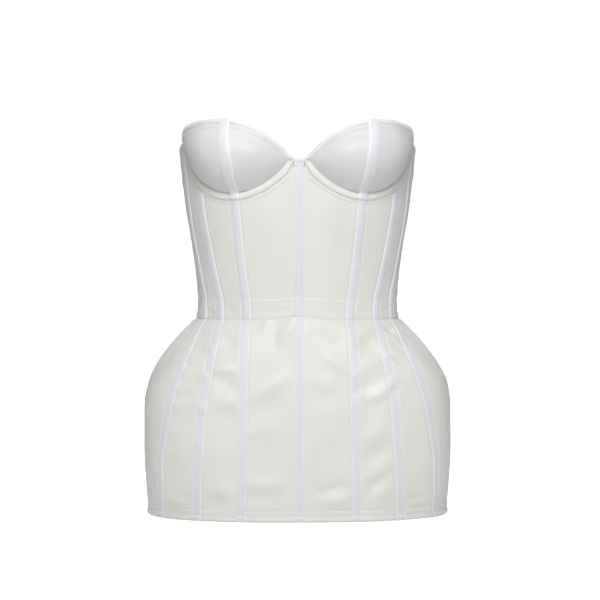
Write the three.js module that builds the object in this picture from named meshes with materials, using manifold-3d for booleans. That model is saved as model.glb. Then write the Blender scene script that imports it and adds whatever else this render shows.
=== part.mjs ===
import * as THREE from "three";
import { mergeVertices } from "three/addons/utils/BufferGeometryUtils.js";
import Module from "manifold-3d";

// A strapless boned corset top with padded cups and a flared, boned skirt part, filled out and hollow.
// Millimetres, +Z up, front towards -Y. The origin is on the body's axis at the waist seam.
// Azimuths are in degrees from centre front. Heights are measured from the waist seam.
// Left is the wearer's left, at +X.

// Cloth and seams
const WALL = 1.6;
const PAD = 2.6;
const GAP = 0.3;
const WAIST_PEAK = 4;
const WAIST_PEAK_WIDTH = 16;
const WAIST_PEAK_FADE = 45;

// Boning tapes
const TAPE_WIDTH = 11;
const TAPE_THICK = 1.4;
const TAPE_CROWN = 0.4;
const HALF_TAPE = TAPE_WIDTH / 2;

// Rolled edges
const ROLL_HEIGHT = 4.8;
const ROLL_THICK = 4.2;
const HEM_ROLL_HEIGHT = 5.8;
const HEM_HEIGHT = -225.5;
const ROLL_SIDES = 8;
const HEM_SIDES = 6;
const HEM_TAPE = { start: 1.2, end: 1 };

// Centre back zip
const ZIP_OPENING = 10;
const ZIP_TAPE_WIDTH = 24;
const ZIP_TAPE_THICK = 0.8;
const CHAIN_WIDTH = 5.2;
const CHAIN_LIFT = 0.4;
const LINE_SIX_MARGIN = 1;

// Slider and pull tab
const TAB_AXIS_HEIGHT = 151;
const SLIDER = { width: 8.4, tailWidth: 5, above: 6, shoulder: 1, below: 7, thick: 2 };
const LUG = { width: 2.4, inner: 1.4, wall: 1.2 };
const TAB = { width: 7.6, length: 25, thick: 1.4, endWidth: 6, eyeWidth: 4, eyeLength: 5.2, bar: 0.8 };
const TAB_STANDOFF = 1.2;

// Half width and depths of the level section at each height, and how square its ellipse is
const BODICE = [
  { height: 0, halfWidth: 119.4, front: 86, back: 80, square: 2.1 },
  { height: 21, halfWidth: 117.2, front: 85, back: 78, square: 2.1 },
  { height: 45, halfWidth: 118.8, front: 88, back: 80.5, square: 2.15 },
  { height: 73, halfWidth: 122.2, front: 92, back: 85, square: 2.2 },
  { height: 102, halfWidth: 127.2, front: 96, back: 90, square: 2.2 },
  { height: 130, halfWidth: 131.5, front: 98.5, back: 94.5, square: 2.2 },
  { height: 160, halfWidth: 135, front: 99, back: 98, square: 2.2 },
  { height: 190, halfWidth: 138.2, front: 97, back: 100, square: 2.2 },
  { height: 230, halfWidth: 138.5, front: 93, back: 101, square: 2.2 },
];
const SKIRT = [
  { height: -226, halfWidth: 174.6, front: 101, back: 107, square: 2.6 },
  { height: -190, halfWidth: 177.6, front: 103, back: 109, square: 2.6 },
  { height: -150, halfWidth: 179.8, front: 104, back: 110, square: 2.6 },
  { height: -100, halfWidth: 179.6, front: 103.5, back: 108, square: 2.6 },
  { height: -76, halfWidth: 175.8, front: 102, back: 105, square: 2.55 },
  { height: -56, halfWidth: 167.5, front: 100, back: 100, square: 2.45 },
  { height: -36, halfWidth: 154, front: 97, back: 94, square: 2.3 },
  { height: -18, halfWidth: 139, front: 93, back: 88, square: 2.2 },
  { height: 0, halfWidth: 121, front: 86, back: 80, square: 2.1 },
];

// Azimuth of each boning line, by height
const BODICE_LINES = [
  { height: 0, one: 37.3, two: 56, three: 69.8, four: 101, five: 137 },
  { height: 30, one: 38.7, two: 58, three: 71.8, four: 100.5, five: 137 },
  { height: 60, one: 39.3, two: 59.6, three: 73.5, four: 100, five: 137.5 },
  { height: 100, one: 39.4, two: 61, three: 75, four: 99.5, five: 138 },
  { height: 150, one: 39.5, two: 62, three: 75, four: 99, five: 139 },
  { height: 205, one: 39.5, two: 62.5, three: 75, four: 98.5, five: 140 },
];
const SKIRT_LINES = [
  { height: -226, one: 32.9, two: 52.8, three: 68.6, four: 107, five: 139 },
  { height: -165, one: 32.2, two: 51.2, three: 67.4, four: 109, five: 140 },
  { height: -110, one: 31.9, two: 49.7, three: 64, four: 111, five: 141 },
  { height: -62, one: 32.5, two: 49, three: 61.8, four: 111, five: 141 },
  { height: -38, one: 33.4, two: 50, three: 63, four: 109, five: 140 },
  { height: -18, one: 35, two: 51.9, three: 65.2, four: 106, five: 138 },
  { height: 0, one: 37, two: 55.4, three: 69.2, four: 102, five: 137 },
];

// Height of the underwire, which is the lower edge of the cups
const WIRE = [
  { azimuth: 0, height: 180 },
  { azimuth: 3.2, height: 180 },
  { azimuth: 5.5, height: 176.8 },
  { azimuth: 8, height: 170.6 },
  { azimuth: 11, height: 164.5 },
  { azimuth: 16, height: 156.5 },
  { azimuth: 22, height: 149.2 },
  { azimuth: 29, height: 143.2 },
  { azimuth: 36, height: 139.6 },
  { azimuth: 43, height: 139.2 },
  { azimuth: 50, height: 142.3 },
  { azimuth: 57, height: 149.2 },
  { azimuth: 62.5, height: 158.5 },
  { azimuth: 66.5, height: 170 },
  { azimuth: 69.5, height: 182 },
  { azimuth: 72, height: 192.5 },
  { azimuth: 75, height: 200 },
];

// Cloth edge of the sides and back above the last cup
const WING = [
  { azimuth: 75, height: 200 },
  { azimuth: 80, height: 197.5 },
  { azimuth: 90, height: 190.5 },
  { azimuth: 100, height: 184 },
  { azimuth: 120, height: 173 },
  { azimuth: 150, height: 164 },
  { azimuth: 180, height: 160 },
];

// Cup: where each section across it starts on the wire and ends at the neckline, and how far it stands out
const CUP = [
  { across: 0, foot: 5, topAzimuth: 5.5, topHeight: 179.8, bulge: 0.8 },
  { across: 0.1, foot: 8, topAzimuth: 9.8, topHeight: 187.4, bulge: 7 },
  { across: 0.2, foot: 12.5, topAzimuth: 16, topHeight: 197.2, bulge: 15 },
  { across: 0.3, foot: 19, topAzimuth: 24, topHeight: 208, bulge: 24 },
  { across: 0.4, foot: 28, topAzimuth: 34, topHeight: 217.5, bulge: 31 },
  { across: 0.5, foot: 39.5, topAzimuth: 45, topHeight: 221.1, bulge: 34 },
  { across: 0.6, foot: 48.5, topAzimuth: 53.4, topHeight: 221.4, bulge: 32.5 },
  { across: 0.7, foot: 56.5, topAzimuth: 60.6, topHeight: 219.9, bulge: 27 },
  { across: 0.8, foot: 63, topAzimuth: 67, topHeight: 218, bulge: 19 },
  { across: 0.9, foot: 68.5, topAzimuth: 72.5, topHeight: 215.6, bulge: 10 },
  { across: 1, foot: 73.4, topAzimuth: 77, topHeight: 211.5, bulge: 2.5 },
];
const CUP_PROFILE = [
  { up: 0, share: 0 },
  { up: 0.1, share: 0.35 },
  { up: 0.22, share: 0.64 },
  { up: 0.36, share: 0.88 },
  { up: 0.52, share: 1 },
  { up: 0.68, share: 0.96 },
  { up: 0.84, share: 0.78 },
  { up: 1, share: 0.52 },
];
// The seam's share across the cup, which leans to the front so that it looks upright
const CUP_SEAM = [
  { up: 0, share: 0.5 },
  { up: 0.15, share: 0.489 },
  { up: 0.35, share: 0.474 },
  { up: 0.5, share: 0.47 },
  { up: 0.75, share: 0.475 },
  { up: 1, share: 0.484 },
];
const CUP_TURN = 0.5;
const CUP_SEAT = 0.7;

// Section of the underwire casing: a flange below a round channel
const CASING = [
  { down: 10, lift: 0.9 },
  { down: 6.8, lift: 1 },
  { down: 5.4, lift: 2.7 },
  { down: 2, lift: 3.1 },
  { down: 0.5, lift: 1.5 },
];
const CASING_APPROACH = 1;
const GORE_BRIDGE = [
  { down: 10, lift: 1.2 },
  { down: 5, lift: 2.4 },
  { down: 0, lift: 1.6 },
];

// Where a wall turns: heights on the bodice, and shares of the height on the skirt and the cups
const BODICE_HEIGHTS = [14, 34, 58, 84, 110];
const SKIRT_STEPS = [0, 0.03, 0.07, 0.12, 0.18, 0.25, 0.34, 0.48, 0.7, 1];
const CUP_SHARES = [0, 0.08, 0.16, 0.25, 0.34, 0.42];
const CUP_STEPS = [0, 0.07, 0.16, 0.27, 0.4, 0.54, 0.7, 0.86, 1];
const CUP_BINDING_START = 0.03;
const CUP_BINDING_STEPS = [0.86, 0.7, 0.54];
const WING_BINDING_AZIMUTHS = [78, 82, 87, 93, 99, 106, 114, 122, 131, 140, 149, 158, 168];

// Colours and finishes
const BODY_CLOTH = { color: 0xe6e5e0, roughness: 0.5 };
const CUP_CLOTH = { color: 0xe2e2e4, roughness: 0.45 };
const TAPE_CLOTH = { color: 0xe6e5ea, roughness: 0.55 };
const CHAIN_FINISH = { color: 0xe9e8e6, roughness: 0.4 };
const METAL_FINISH = { color: 0xc4c5c8, roughness: 0.3, metalness: 1 };

const UP = new THREE.Vector3(0, 0, 1);
const SIDES = [
  { name: "left", sign: 1 },
  { name: "right", sign: -1 },
];

const wasm = await Module();
wasm.setup();

// Tables

function tableSlope(rows, key, column, i) {
  const secant = (a, b) => (b[column] - a[column]) / (b[key] - a[key]);
  if (i === 0) {
    return secant(rows[0], rows[1]);
  }
  if (i === rows.length - 1) {
    return secant(rows[i - 1], rows[i]);
  }
  const before = secant(rows[i - 1], rows[i]);
  const after = secant(rows[i], rows[i + 1]);
  return before * after <= 0 ? 0 : (2 * before * after) / (before + after);
}

// A smooth value between a table's rows, and a straight run past its ends
function lookUp(rows, key, column, at) {
  const last = rows.length - 1;
  if (at <= rows[0][key]) {
    return rows[0][column] + (at - rows[0][key]) * tableSlope(rows, key, column, 0);
  }
  if (at >= rows[last][key]) {
    return rows[last][column] + (at - rows[last][key]) * tableSlope(rows, key, column, last);
  }
  const i = rows.findIndex((row) => row[key] > at) - 1;
  const width = rows[i + 1][key] - rows[i][key];
  const t = (at - rows[i][key]) / width;
  const startSlope = tableSlope(rows, key, column, i) * width;
  const endSlope = tableSlope(rows, key, column, i + 1) * width;
  const ease = t * t * (3 - 2 * t);
  const lead = t * (1 - t) * (1 - t);
  const trail = t * t * (t - 1);
  return rows[i][column] * (1 - ease) + rows[i + 1][column] * ease + startSlope * lead + endSlope * trail;
}

// The body's surface

function waistRise(azimuth, height) {
  const peak = WAIST_PEAK * Math.exp(-((azimuth / WAIST_PEAK_WIDTH) ** 2));
  return peak * Math.exp(-Math.abs(height) / WAIST_PEAK_FADE);
}

function surfacePoint(sections, azimuth, height) {
  const angle = THREE.MathUtils.degToRad(azimuth);
  const depth = Math.cos(angle) > 0 ? "front" : "back";
  const square = lookUp(sections, "height", "square", height);
  const across = Math.abs(Math.sin(angle)) / lookUp(sections, "height", "halfWidth", height);
  const along = Math.abs(Math.cos(angle)) / lookUp(sections, "height", depth, height);
  const radius = (across ** square + along ** square) ** (-1 / square);
  const z = height + waistRise(azimuth, height);
  return new THREE.Vector3(radius * Math.sin(angle), -radius * Math.cos(angle), z);
}

// A point moved out level, far enough for the lift to be measured square to the cloth
function liftedPoint(sections, azimuth, height, lift) {
  const step = 0.5;
  const point = surfacePoint(sections, azimuth, height);
  const around = surfacePoint(sections, azimuth + step, height);
  around.sub(surfacePoint(sections, azimuth - step, height));
  const rising = surfacePoint(sections, azimuth, height + step);
  rising.sub(surfacePoint(sections, azimuth, height - step));
  const normal = around.cross(rising).normalize();
  const level = new THREE.Vector3(normal.x, normal.y, 0);
  const share = level.length();
  return point.add(level.normalize().multiplyScalar(lift / share));
}

// Millimetres round the body for one degree of azimuth
function spread(sections, azimuth, height) {
  const ahead = surfacePoint(sections, azimuth + 0.5, height);
  return ahead.distanceTo(surfacePoint(sections, azimuth - 0.5, height));
}

// Columns run up the body and rows run round it

const centreFront = () => 0;

function boningLine(sections, lines, name) {
  if (name === "six") {
    const inset = ZIP_OPENING / 2 + HALF_TAPE + LINE_SIX_MARGIN;
    return (height) => 180 - inset / spread(sections, 180, height);
  }
  return (height) => lookUp(lines, "height", name, height);
}

function zipEdge(sections) {
  return (height) => 180 - ZIP_OPENING / 2 / spread(sections, 180, height);
}

function mirrored(column) {
  return (height) => -column(height);
}

function beside(sections, column, offset) {
  return (height) => {
    const azimuth = column(height);
    return azimuth + offset / spread(sections, azimuth, height);
  };
}

function between(low, high, share) {
  return (at) => low(at) + (high(at) - low(at)) * share;
}

// The columns of a panel that runs from its first line to its last, over the lines that it carries
function panelColumns(sections, stops, fill, freeEdge) {
  const columns = [];
  stops.forEach((stop, i) => {
    const first = i === 0;
    const last = i === stops.length - 1;
    if (first) {
      columns.push(beside(sections, stop, GAP / 2));
    } else if (!last || !freeEdge) {
      columns.push(beside(sections, stop, -HALF_TAPE));
    }
    if (last) {
      columns.push(beside(sections, stop, -GAP / 2));
      return;
    }
    if (!first) {
      columns.push(stop);
    }
    columns.push(beside(sections, stop, HALF_TAPE));
    for (let n = 1; n <= fill[i]; n += 1) {
      columns.push(between(stop, stops[i + 1], n / (fill[i] + 1)));
    }
  });
  return columns;
}

function tapeColumns(sections, line) {
  return [beside(sections, line, -HALF_TAPE), line, beside(sections, line, HALF_TAPE)];
}

function wireHeight(azimuth) {
  return lookUp(WIRE, "azimuth", "height", Math.abs(azimuth));
}

// Millimetres of height for each millimetre square to the wire
function wireSteepness(azimuth) {
  const rise = wireHeight(Math.abs(azimuth) + 1) - wireHeight(Math.max(Math.abs(azimuth) - 1, 0));
  const run = 2 * spread(BODICE, azimuth, wireHeight(azimuth));
  return Math.hypot(1, rise / run);
}

function belowWire(distance) {
  return (azimuth) => wireHeight(azimuth) - distance * wireSteepness(azimuth);
}

const casingFoot = belowWire(CASING[0].down);
const wingEdge = (azimuth) => lookUp(WING, "azimuth", "height", Math.abs(azimuth));
const wireEnd = WIRE[WIRE.length - 1];
const wingFoot = (azimuth) => wingEdge(azimuth) - wireEnd.height + casingFoot(wireEnd.azimuth);
const waistAbove = () => GAP / 2;
const waistBelow = () => -GAP / 2;
const hemEdge = () => HEM_HEIGHT + HEM_ROLL_HEIGHT;

function bodiceRows(foot, edge) {
  const levels = BODICE_HEIGHTS.map((height) => () => height);
  return [waistAbove, ...levels, between(levels[levels.length - 1], foot, 0.5), foot, edge];
}

const FRONT_ROWS = bodiceRows(casingFoot, belowWire(GAP / 2));
const BACK_ROWS = bodiceRows(wingFoot, wingEdge);
const SIDE_ROWS = FRONT_ROWS.map((frontRow, i) => (azimuth) => {
  const row = azimuth < wireEnd.azimuth ? frontRow : BACK_ROWS[i];
  return row(azimuth);
});
const SKIRT_ROWS = SKIRT_STEPS.map((step) => between(waistBelow, hemEdge, step));

// Where a column and a row cross, found by going from one to the other in turn
const CROSSING_ROUNDS = 20;

function crossing(column, row) {
  let azimuth = column(0);
  let height = row(azimuth);
  for (let i = 0; i < CROSSING_ROUNDS; i += 1) {
    azimuth = column(height);
    height = row(azimuth);
  }
  return { azimuth, height };
}

function crossings(columns, rows) {
  return rows.map((row) => columns.map((column) => crossing(column, row)));
}

// Closed solids

function closedSolid(points, faces, sign) {
  const positions = points.flatMap((point) => [point.x * sign, point.y, point.z]);
  let volume = 0;
  for (let i = 0; i < faces.length; i += 3) {
    const [a, b, c] = [faces[i], faces[i + 1], faces[i + 2]].map((index) => points[index]);
    volume += a.dot(b.clone().cross(c));
  }
  const indices = [];
  for (let i = 0; i < faces.length; i += 3) {
    const [a, b, c] = faces.slice(i, i + 3);
    indices.push(...(volume * sign > 0 ? [a, b, c] : [a, c, b]));
  }
  const geometry = new THREE.BufferGeometry();
  geometry.setAttribute("position", new THREE.Float32BufferAttribute(positions, 3));
  geometry.setIndex(indices);
  geometry.computeVertexNormals();
  return geometry;
}

// A wall between an outer and an inner grid of points
function wallSolid(outer, inner, sign) {
  const rows = outer.length;
  const columns = outer[0].length;
  const faces = [];
  const last = columns - 1;
  const at = (layer, row, column) => (layer * rows + row) * columns + column;
  const quad = (a, b, c, d) => faces.push(a, b, c, a, c, d);
  for (let r = 1; r < rows; r += 1) {
    for (let c = 1; c < columns; c += 1) {
      quad(at(0, r - 1, c - 1), at(0, r - 1, c), at(0, r, c), at(0, r, c - 1));
      quad(at(1, r - 1, c - 1), at(1, r, c - 1), at(1, r, c), at(1, r - 1, c));
    }
    quad(at(0, r - 1, 0), at(0, r, 0), at(1, r, 0), at(1, r - 1, 0));
    quad(at(0, r, last), at(0, r - 1, last), at(1, r - 1, last), at(1, r, last));
  }
  for (let c = 1; c < columns; c += 1) {
    quad(at(0, 0, c), at(0, 0, c - 1), at(1, 0, c - 1), at(1, 0, c));
    quad(at(0, rows - 1, c - 1), at(0, rows - 1, c), at(1, rows - 1, c), at(1, rows - 1, c - 1));
  }
  return closedSolid([...outer.flat(), ...inner.flat()], faces, sign);
}

// A bar through rings of points, closed at both ends
function barSolid(rings, sign) {
  const sides = rings[0].length;
  const faces = [];
  const at = (ring, side) => ring * sides + (side % sides);
  for (let r = 1; r < rings.length; r += 1) {
    for (let s = 0; s < sides; s += 1) {
      faces.push(at(r - 1, s), at(r - 1, s + 1), at(r, s + 1));
      faces.push(at(r - 1, s), at(r, s + 1), at(r, s));
    }
  }
  const end = rings.length - 1;
  for (let s = 2; s < sides; s += 1) {
    faces.push(at(0, 0), at(0, s), at(0, s - 1));
    faces.push(at(end, 0), at(end, s - 1), at(end, s));
  }
  return closedSolid(rings.flat(), faces, sign);
}

function ovalRing(centre, up, out, height, thick, sides) {
  const ring = [];
  for (let s = 0; s < sides; s += 1) {
    const angle = (2 * Math.PI * (s + 0.5)) / sides;
    const point = centre.clone();
    point.addScaledVector(up, (Math.sin(angle) * height) / 2);
    point.addScaledVector(out, (Math.cos(angle) * thick) / 2);
    ring.push(point);
  }
  return ring;
}

const group = new THREE.Group();

function addMesh(name, geometry, finish) {
  const mesh = new THREE.Mesh(geometry, new THREE.MeshStandardMaterial(finish));
  mesh.name = name;
  group.add(mesh);
}

// A wall laid on the body. Each lift is one number, or one for each row.
function layOn(sections, grid, outerLift, innerLift) {
  const raise = (lift) => (line, r) => {
    const amount = Array.isArray(lift) ? lift[r] : lift;
    return line.map(({ azimuth, height }) => liftedPoint(sections, azimuth, height, amount));
  };
  return { outer: grid.map(raise(outerLift)), inner: grid.map(raise(innerLift)) };
}

// Panels

function addPanel(name, sections, columns, rows, sign) {
  const { outer, inner } = layOn(sections, crossings(columns, rows), 0, -WALL);
  addMesh(name, wallSolid(outer, inner, sign), BODY_CLOTH);
}

const parts = [
  { name: "bodice", sections: BODICE, lines: BODICE_LINES, rows: FRONT_ROWS, backRows: BACK_ROWS },
  { name: "skirt", sections: SKIRT, lines: SKIRT_LINES, rows: SKIRT_ROWS, backRows: SKIRT_ROWS },
];

function panelPlan({ sections, lines, rows, backRows }) {
  const line = (name) => boningLine(sections, lines, name);
  const columns = (stops, fill, freeEdge) => panelColumns(sections, stops, fill, freeEdge);
  const backStops = [line("four"), line("five"), line("six"), zipEdge(sections)];
  return [
    { name: "side_front", columns: columns([line("one"), line("two")], [2], false), rows },
    { name: "side", columns: columns([line("two"), line("three")], [2], false), rows },
    { name: "side_back", columns: columns([line("three"), line("four")], [3], false), rows: backRows },
    { name: "back", columns: columns(backStops, [2, 2, 0], true), rows: backRows },
  ];
}

function centreColumns({ sections, lines }) {
  const one = boningLine(sections, lines, "one");
  return panelColumns(sections, [mirrored(one), centreFront, one], [3, 3], false);
}

function addPanels(part) {
  addPanel(`${part.name}_centre_front`, part.sections, centreColumns(part), part.rows, 1);
  for (const side of SIDES) {
    for (const { name, columns, rows } of panelPlan(part)) {
      addPanel(`${part.name}_${name}_${side.name}`, part.sections, columns, rows, side.sign);
    }
  }
}

// Cups

function cupBase(across, up) {
  const foot = lookUp(CUP, "across", "foot", across);
  const topAzimuth = lookUp(CUP, "across", "topAzimuth", across);
  const topHeight = lookUp(CUP, "across", "topHeight", across);
  const azimuth = foot + (topAzimuth - foot) * up;
  const footHeight = belowWire(-CUP_SEAT)(foot);
  const height = footHeight + (topHeight - footHeight) * up;
  const point = surfacePoint(BODICE, azimuth, height);
  const turn = THREE.MathUtils.degToRad(azimuth * CUP_TURN);
  const bulge = lookUp(CUP, "across", "bulge", across) * lookUp(CUP_PROFILE, "up", "share", up);
  point.x += bulge * Math.sin(turn);
  point.y -= bulge * Math.cos(turn);
  return point;
}

// The cup's frame at a point: outwards, up towards the neckline, and across towards the side
function cupFrame(across, up) {
  const step = 0.01;
  const acrossWay = cupBase(across + step, up).sub(cupBase(across - step, up)).normalize();
  const upWay = cupBase(across, up + step).sub(cupBase(across, up - step)).normalize();
  const out = acrossWay.clone().cross(upWay).normalize();
  return { out, upWay, acrossWay };
}

function cupPoint(across, up, lift) {
  return cupBase(across, up).addScaledVector(cupFrame(across, up).out, lift);
}

// Share of the cup's width for an offset beside its seam
function seamShare(offset, up) {
  const step = 0.01;
  const seam = lookUp(CUP_SEAM, "up", "share", up);
  const width = cupBase(seam + step, up).distanceTo(cupBase(seam - step, up));
  return seam + (offset * 2 * step) / width;
}

const besideSeam = (offset) => (up) => seamShare(offset, up);
const cupPanels = [
  { name: "inner", columns: [...CUP_SHARES.map((share) => () => share), -HALF_TAPE, -GAP / 2] },
  { name: "outer", columns: [GAP / 2, HALF_TAPE, ...CUP_SHARES.map((share) => () => 1 - share).reverse()] },
].map(({ name, columns }) => ({
  name,
  columns: columns.map((column) => (typeof column === "number" ? besideSeam(column) : column)),
}));

function addCups(side) {
  for (const { name, columns } of cupPanels) {
    const layer = (lift) => CUP_STEPS.map((up) => columns.map((column) => cupPoint(column(up), up, lift)));
    addMesh(`cup_${name}_${side.name}`, wallSolid(layer(0), layer(-PAD), side.sign), CUP_CLOTH);
  }
}

// Underwire casings and the bridge between them

function casingGrid() {
  const bodice = parts[0];
  const [sideFront, sidePanel] = panelPlan(bodice);
  const centre = centreColumns(bodice).filter((column) => column(0) > 0);
  const start = beside(BODICE, centreFront, HALF_TAPE + GAP);
  const end = beside(BODICE, boningLine(BODICE, BODICE_LINES, "three"), -HALF_TAPE - GAP);
  const columns = [start, ...centre.slice(1), ...sideFront.columns, ...sidePanel.columns.slice(0, -2), end];
  return crossings(columns, CASING.map(({ down }) => belowWire(down)));
}

function addCasing(side) {
  const { outer, inner } = layOn(BODICE, casingGrid(), CASING.map(({ lift }) => lift), GAP);
  addMesh(`underwire_casing_${side.name}`, wallSolid(outer, inner, side.sign), BODY_CLOTH);
}

function addGoreBridge() {
  const grid = crossings(tapeColumns(BODICE, centreFront), GORE_BRIDGE.map(({ down }) => belowWire(down)));
  const { outer, inner } = layOn(BODICE, grid, GORE_BRIDGE.map(({ lift }) => lift), GAP);
  addMesh("gore_bridge", wallSolid(outer, inner, 1), TAPE_CLOTH);
}

// Boning tapes

function tapeWall(sections, grid, lifts) {
  const heights = grid.map((_, r) => (Array.isArray(lifts) ? lifts[r] : lifts));
  const inner = layOn(sections, grid, 0, heights).inner;
  const outer = layOn(sections, grid, heights.map((lift) => lift + TAPE_THICK), 0).outer;
  const crest = layOn(sections, grid, heights.map((lift) => lift + TAPE_THICK + TAPE_CROWN), 0).outer;
  return { outer: outer.map((line, r) => [line[0], crest[r][1], line[2]]), inner };
}

function addBodiceTape(name, line, panelRows, sign) {
  const rows = panelRows.slice(0, -1);
  const edge = panelRows[panelRows.length - 1];
  rows.push((azimuth) => edge(azimuth) - GAP);
  const { outer, inner } = tapeWall(BODICE, crossings(tapeColumns(BODICE, line), rows), GAP);
  addMesh(`bodice_tape_${name}`, wallSolid(outer, inner, sign), TAPE_CLOTH);
}

// The line one tape runs over the casing and up the seam of the cup
function addCupTape(side) {
  const line = boningLine(BODICE, BODICE_LINES, "one");
  const panelRows = FRONT_ROWS.slice(0, -2);
  const casingRows = CASING.slice(0, -1);
  const approach = belowWire(CASING[0].down + CASING_APPROACH);
  const rows = [...panelRows, approach, ...casingRows.map(({ down }) => belowWire(down))];
  const lifts = [...panelRows.map(() => GAP), GAP, ...casingRows.map(({ lift }) => lift + GAP)];
  const { outer, inner } = tapeWall(BODICE, crossings(tapeColumns(BODICE, line), rows), lifts);
  for (const up of CUP_STEPS.slice(1)) {
    const shares = [-HALF_TAPE, 0, HALF_TAPE].map((offset) => seamShare(offset, up));
    const lift = [TAPE_THICK, TAPE_THICK + TAPE_CROWN, TAPE_THICK];
    inner.push(shares.map((share) => cupPoint(share, up, GAP)));
    outer.push(shares.map((share, c) => cupPoint(share, up, GAP + lift[c])));
  }
  addMesh(`bodice_tape_one_${side.name}`, wallSolid(outer, inner, side.sign), TAPE_CLOTH);
}

function addSkirtTape(name, line, sign) {
  const rollLift = (ROLL_THICK - WALL) / 2 + GAP;
  const hemRows = [
    { height: hemEdge() - HEM_TAPE.start, lift: rollLift },
    { height: HEM_HEIGHT + HEM_TAPE.end, lift: rollLift },
  ];
  const rows = [...SKIRT_ROWS, ...hemRows.map(({ height }) => () => height)];
  const lifts = [...SKIRT_ROWS.map(() => GAP), ...hemRows.map(({ lift }) => lift)];
  const { outer, inner } = tapeWall(SKIRT, crossings(tapeColumns(SKIRT, line), rows), lifts);
  addMesh(`skirt_tape_${name}`, wallSolid(outer, inner, sign), TAPE_CLOTH);
}

function addTapes() {
  const underCasing = FRONT_ROWS.slice(0, -1);
  const tapeRows = { two: underCasing, three: SIDE_ROWS, four: BACK_ROWS, five: BACK_ROWS, six: BACK_ROWS };
  addBodiceTape("centre", centreFront, underCasing, 1);
  addSkirtTape("centre", centreFront, 1);
  for (const side of SIDES) {
    addCupTape(side);
    for (const [name, rows] of Object.entries(tapeRows)) {
      addBodiceTape(`${name}_${side.name}`, boningLine(BODICE, BODICE_LINES, name), rows, side.sign);
    }
    for (const name of ["one", "two", "three", "four", "five", "six"]) {
      addSkirtTape(`${name}_${side.name}`, boningLine(SKIRT, SKIRT_LINES, name), side.sign);
    }
  }
}

// Rolled edges

// A ring of the roll past the cup's edge, turned from the neckline's way towards the side's
function cupRollRing(across, up, turn) {
  const { out, upWay, acrossWay } = cupFrame(across, up);
  const neckWay = out.clone().cross(acrossWay);
  const edgeWay = neckWay.lerp(upWay.clone().cross(out), turn).normalize();
  const centre = cupPoint(across, up, -PAD / 2);
  centre.addScaledVector(edgeWay, GAP + ROLL_HEIGHT / 2);
  return ovalRing(centre, edgeWay, out, ROLL_HEIGHT, ROLL_THICK, ROLL_SIDES);
}

function addCupBinding(side) {
  const neckline = cupPanels.flatMap(({ columns }) => columns.map((column) => column(1))).slice(1, -1);
  const rings = [CUP_BINDING_START, ...neckline].map((across) => cupRollRing(across, 1, 0));
  rings.push(cupRollRing(1, 1, 0.5));
  for (const up of CUP_BINDING_STEPS) {
    rings.push(cupRollRing(1, up, 1));
  }
  addMesh(`cup_binding_${side.name}`, barSolid(rings, side.sign), CUP_CLOTH);
}

function levelOut(sections, azimuth, height) {
  const outside = liftedPoint(sections, azimuth, height, 1);
  return outside.sub(surfacePoint(sections, azimuth, height)).normalize();
}

function addWingBinding(side) {
  const end = zipEdge(BODICE)(WING[WING.length - 1].height);
  const rings = [...WING_BINDING_AZIMUTHS, end].map((azimuth) => {
    const edge = wingEdge(azimuth);
    const centre = liftedPoint(BODICE, azimuth, edge, -WALL / 2);
    centre.z += GAP + ROLL_HEIGHT / 2;
    return ovalRing(centre, UP, levelOut(BODICE, azimuth, edge), ROLL_HEIGHT, ROLL_THICK, ROLL_SIDES);
  });
  addMesh(`wing_binding_${side.name}`, barSolid(rings, side.sign), BODY_CLOTH);
}

function addHemRoll() {
  const skirt = parts[1];
  const columns = [...centreColumns(skirt).filter((column) => column(0) >= 0)];
  columns.push(...panelPlan(skirt).flatMap((panel) => panel.columns.slice(1)));
  const right = columns.slice(1).map((column) => -column(hemEdge())).reverse();
  const azimuths = [...right, ...columns.map((column) => column(hemEdge()))];
  const rings = azimuths.map((azimuth) => {
    const centre = liftedPoint(SKIRT, azimuth, hemEdge(), -WALL / 2);
    centre.z = HEM_HEIGHT + (HEM_ROLL_HEIGHT - GAP) / 2;
    const out = levelOut(SKIRT, azimuth, hemEdge());
    return ovalRing(centre, UP, out, HEM_ROLL_HEIGHT - GAP, ROLL_THICK, HEM_SIDES);
  });
  addMesh("hem_roll", barSolid(rings, 1), BODY_CLOTH);
}

// Centre back zip

function addZip() {
  const back = -WALL - GAP - ZIP_TAPE_THICK;
  const front = -WALL - GAP;
  const section = [
    { across: 0, lift: back },
    { across: ZIP_TAPE_WIDTH / 2, lift: back },
    { across: ZIP_TAPE_WIDTH / 2, lift: front },
    { across: CHAIN_WIDTH / 2, lift: front },
    { across: CHAIN_WIDTH / 2, lift: CHAIN_LIFT },
    { across: -CHAIN_WIDTH / 2, lift: CHAIN_LIFT },
    { across: -CHAIN_WIDTH / 2, lift: front },
    { across: -ZIP_TAPE_WIDTH / 2, lift: front },
    { across: -ZIP_TAPE_WIDTH / 2, lift: back },
  ];
  const ring = (sections, height) => section.map(({ across, lift }) => {
    const azimuth = 180 + across / spread(sections, 180, height);
    return liftedPoint(sections, azimuth, height, lift);
  });
  const skirtHeights = SKIRT_ROWS.map((row) => row(180)).reverse();
  const bodiceHeights = BACK_ROWS.map((row) => row(180)).slice(1);
  const rings = skirtHeights.map((height) => ring(SKIRT, height));
  rings.push(...bodiceHeights.map((height) => ring(BODICE, height)));
  addMesh("zip_chain", barSolid(rings, 1), CHAIN_FINISH);
}

function toManifold(geometry) {
  const bare = geometry.clone();
  bare.deleteAttribute("normal");
  bare.deleteAttribute("uv");
  const merged = mergeVertices(bare);
  const vertProperties = merged.attributes.position.array;
  const triVerts = merged.index.array;
  return new wasm.Manifold(new wasm.Mesh({ numProp: 3, vertProperties, triVerts }));
}

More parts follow.
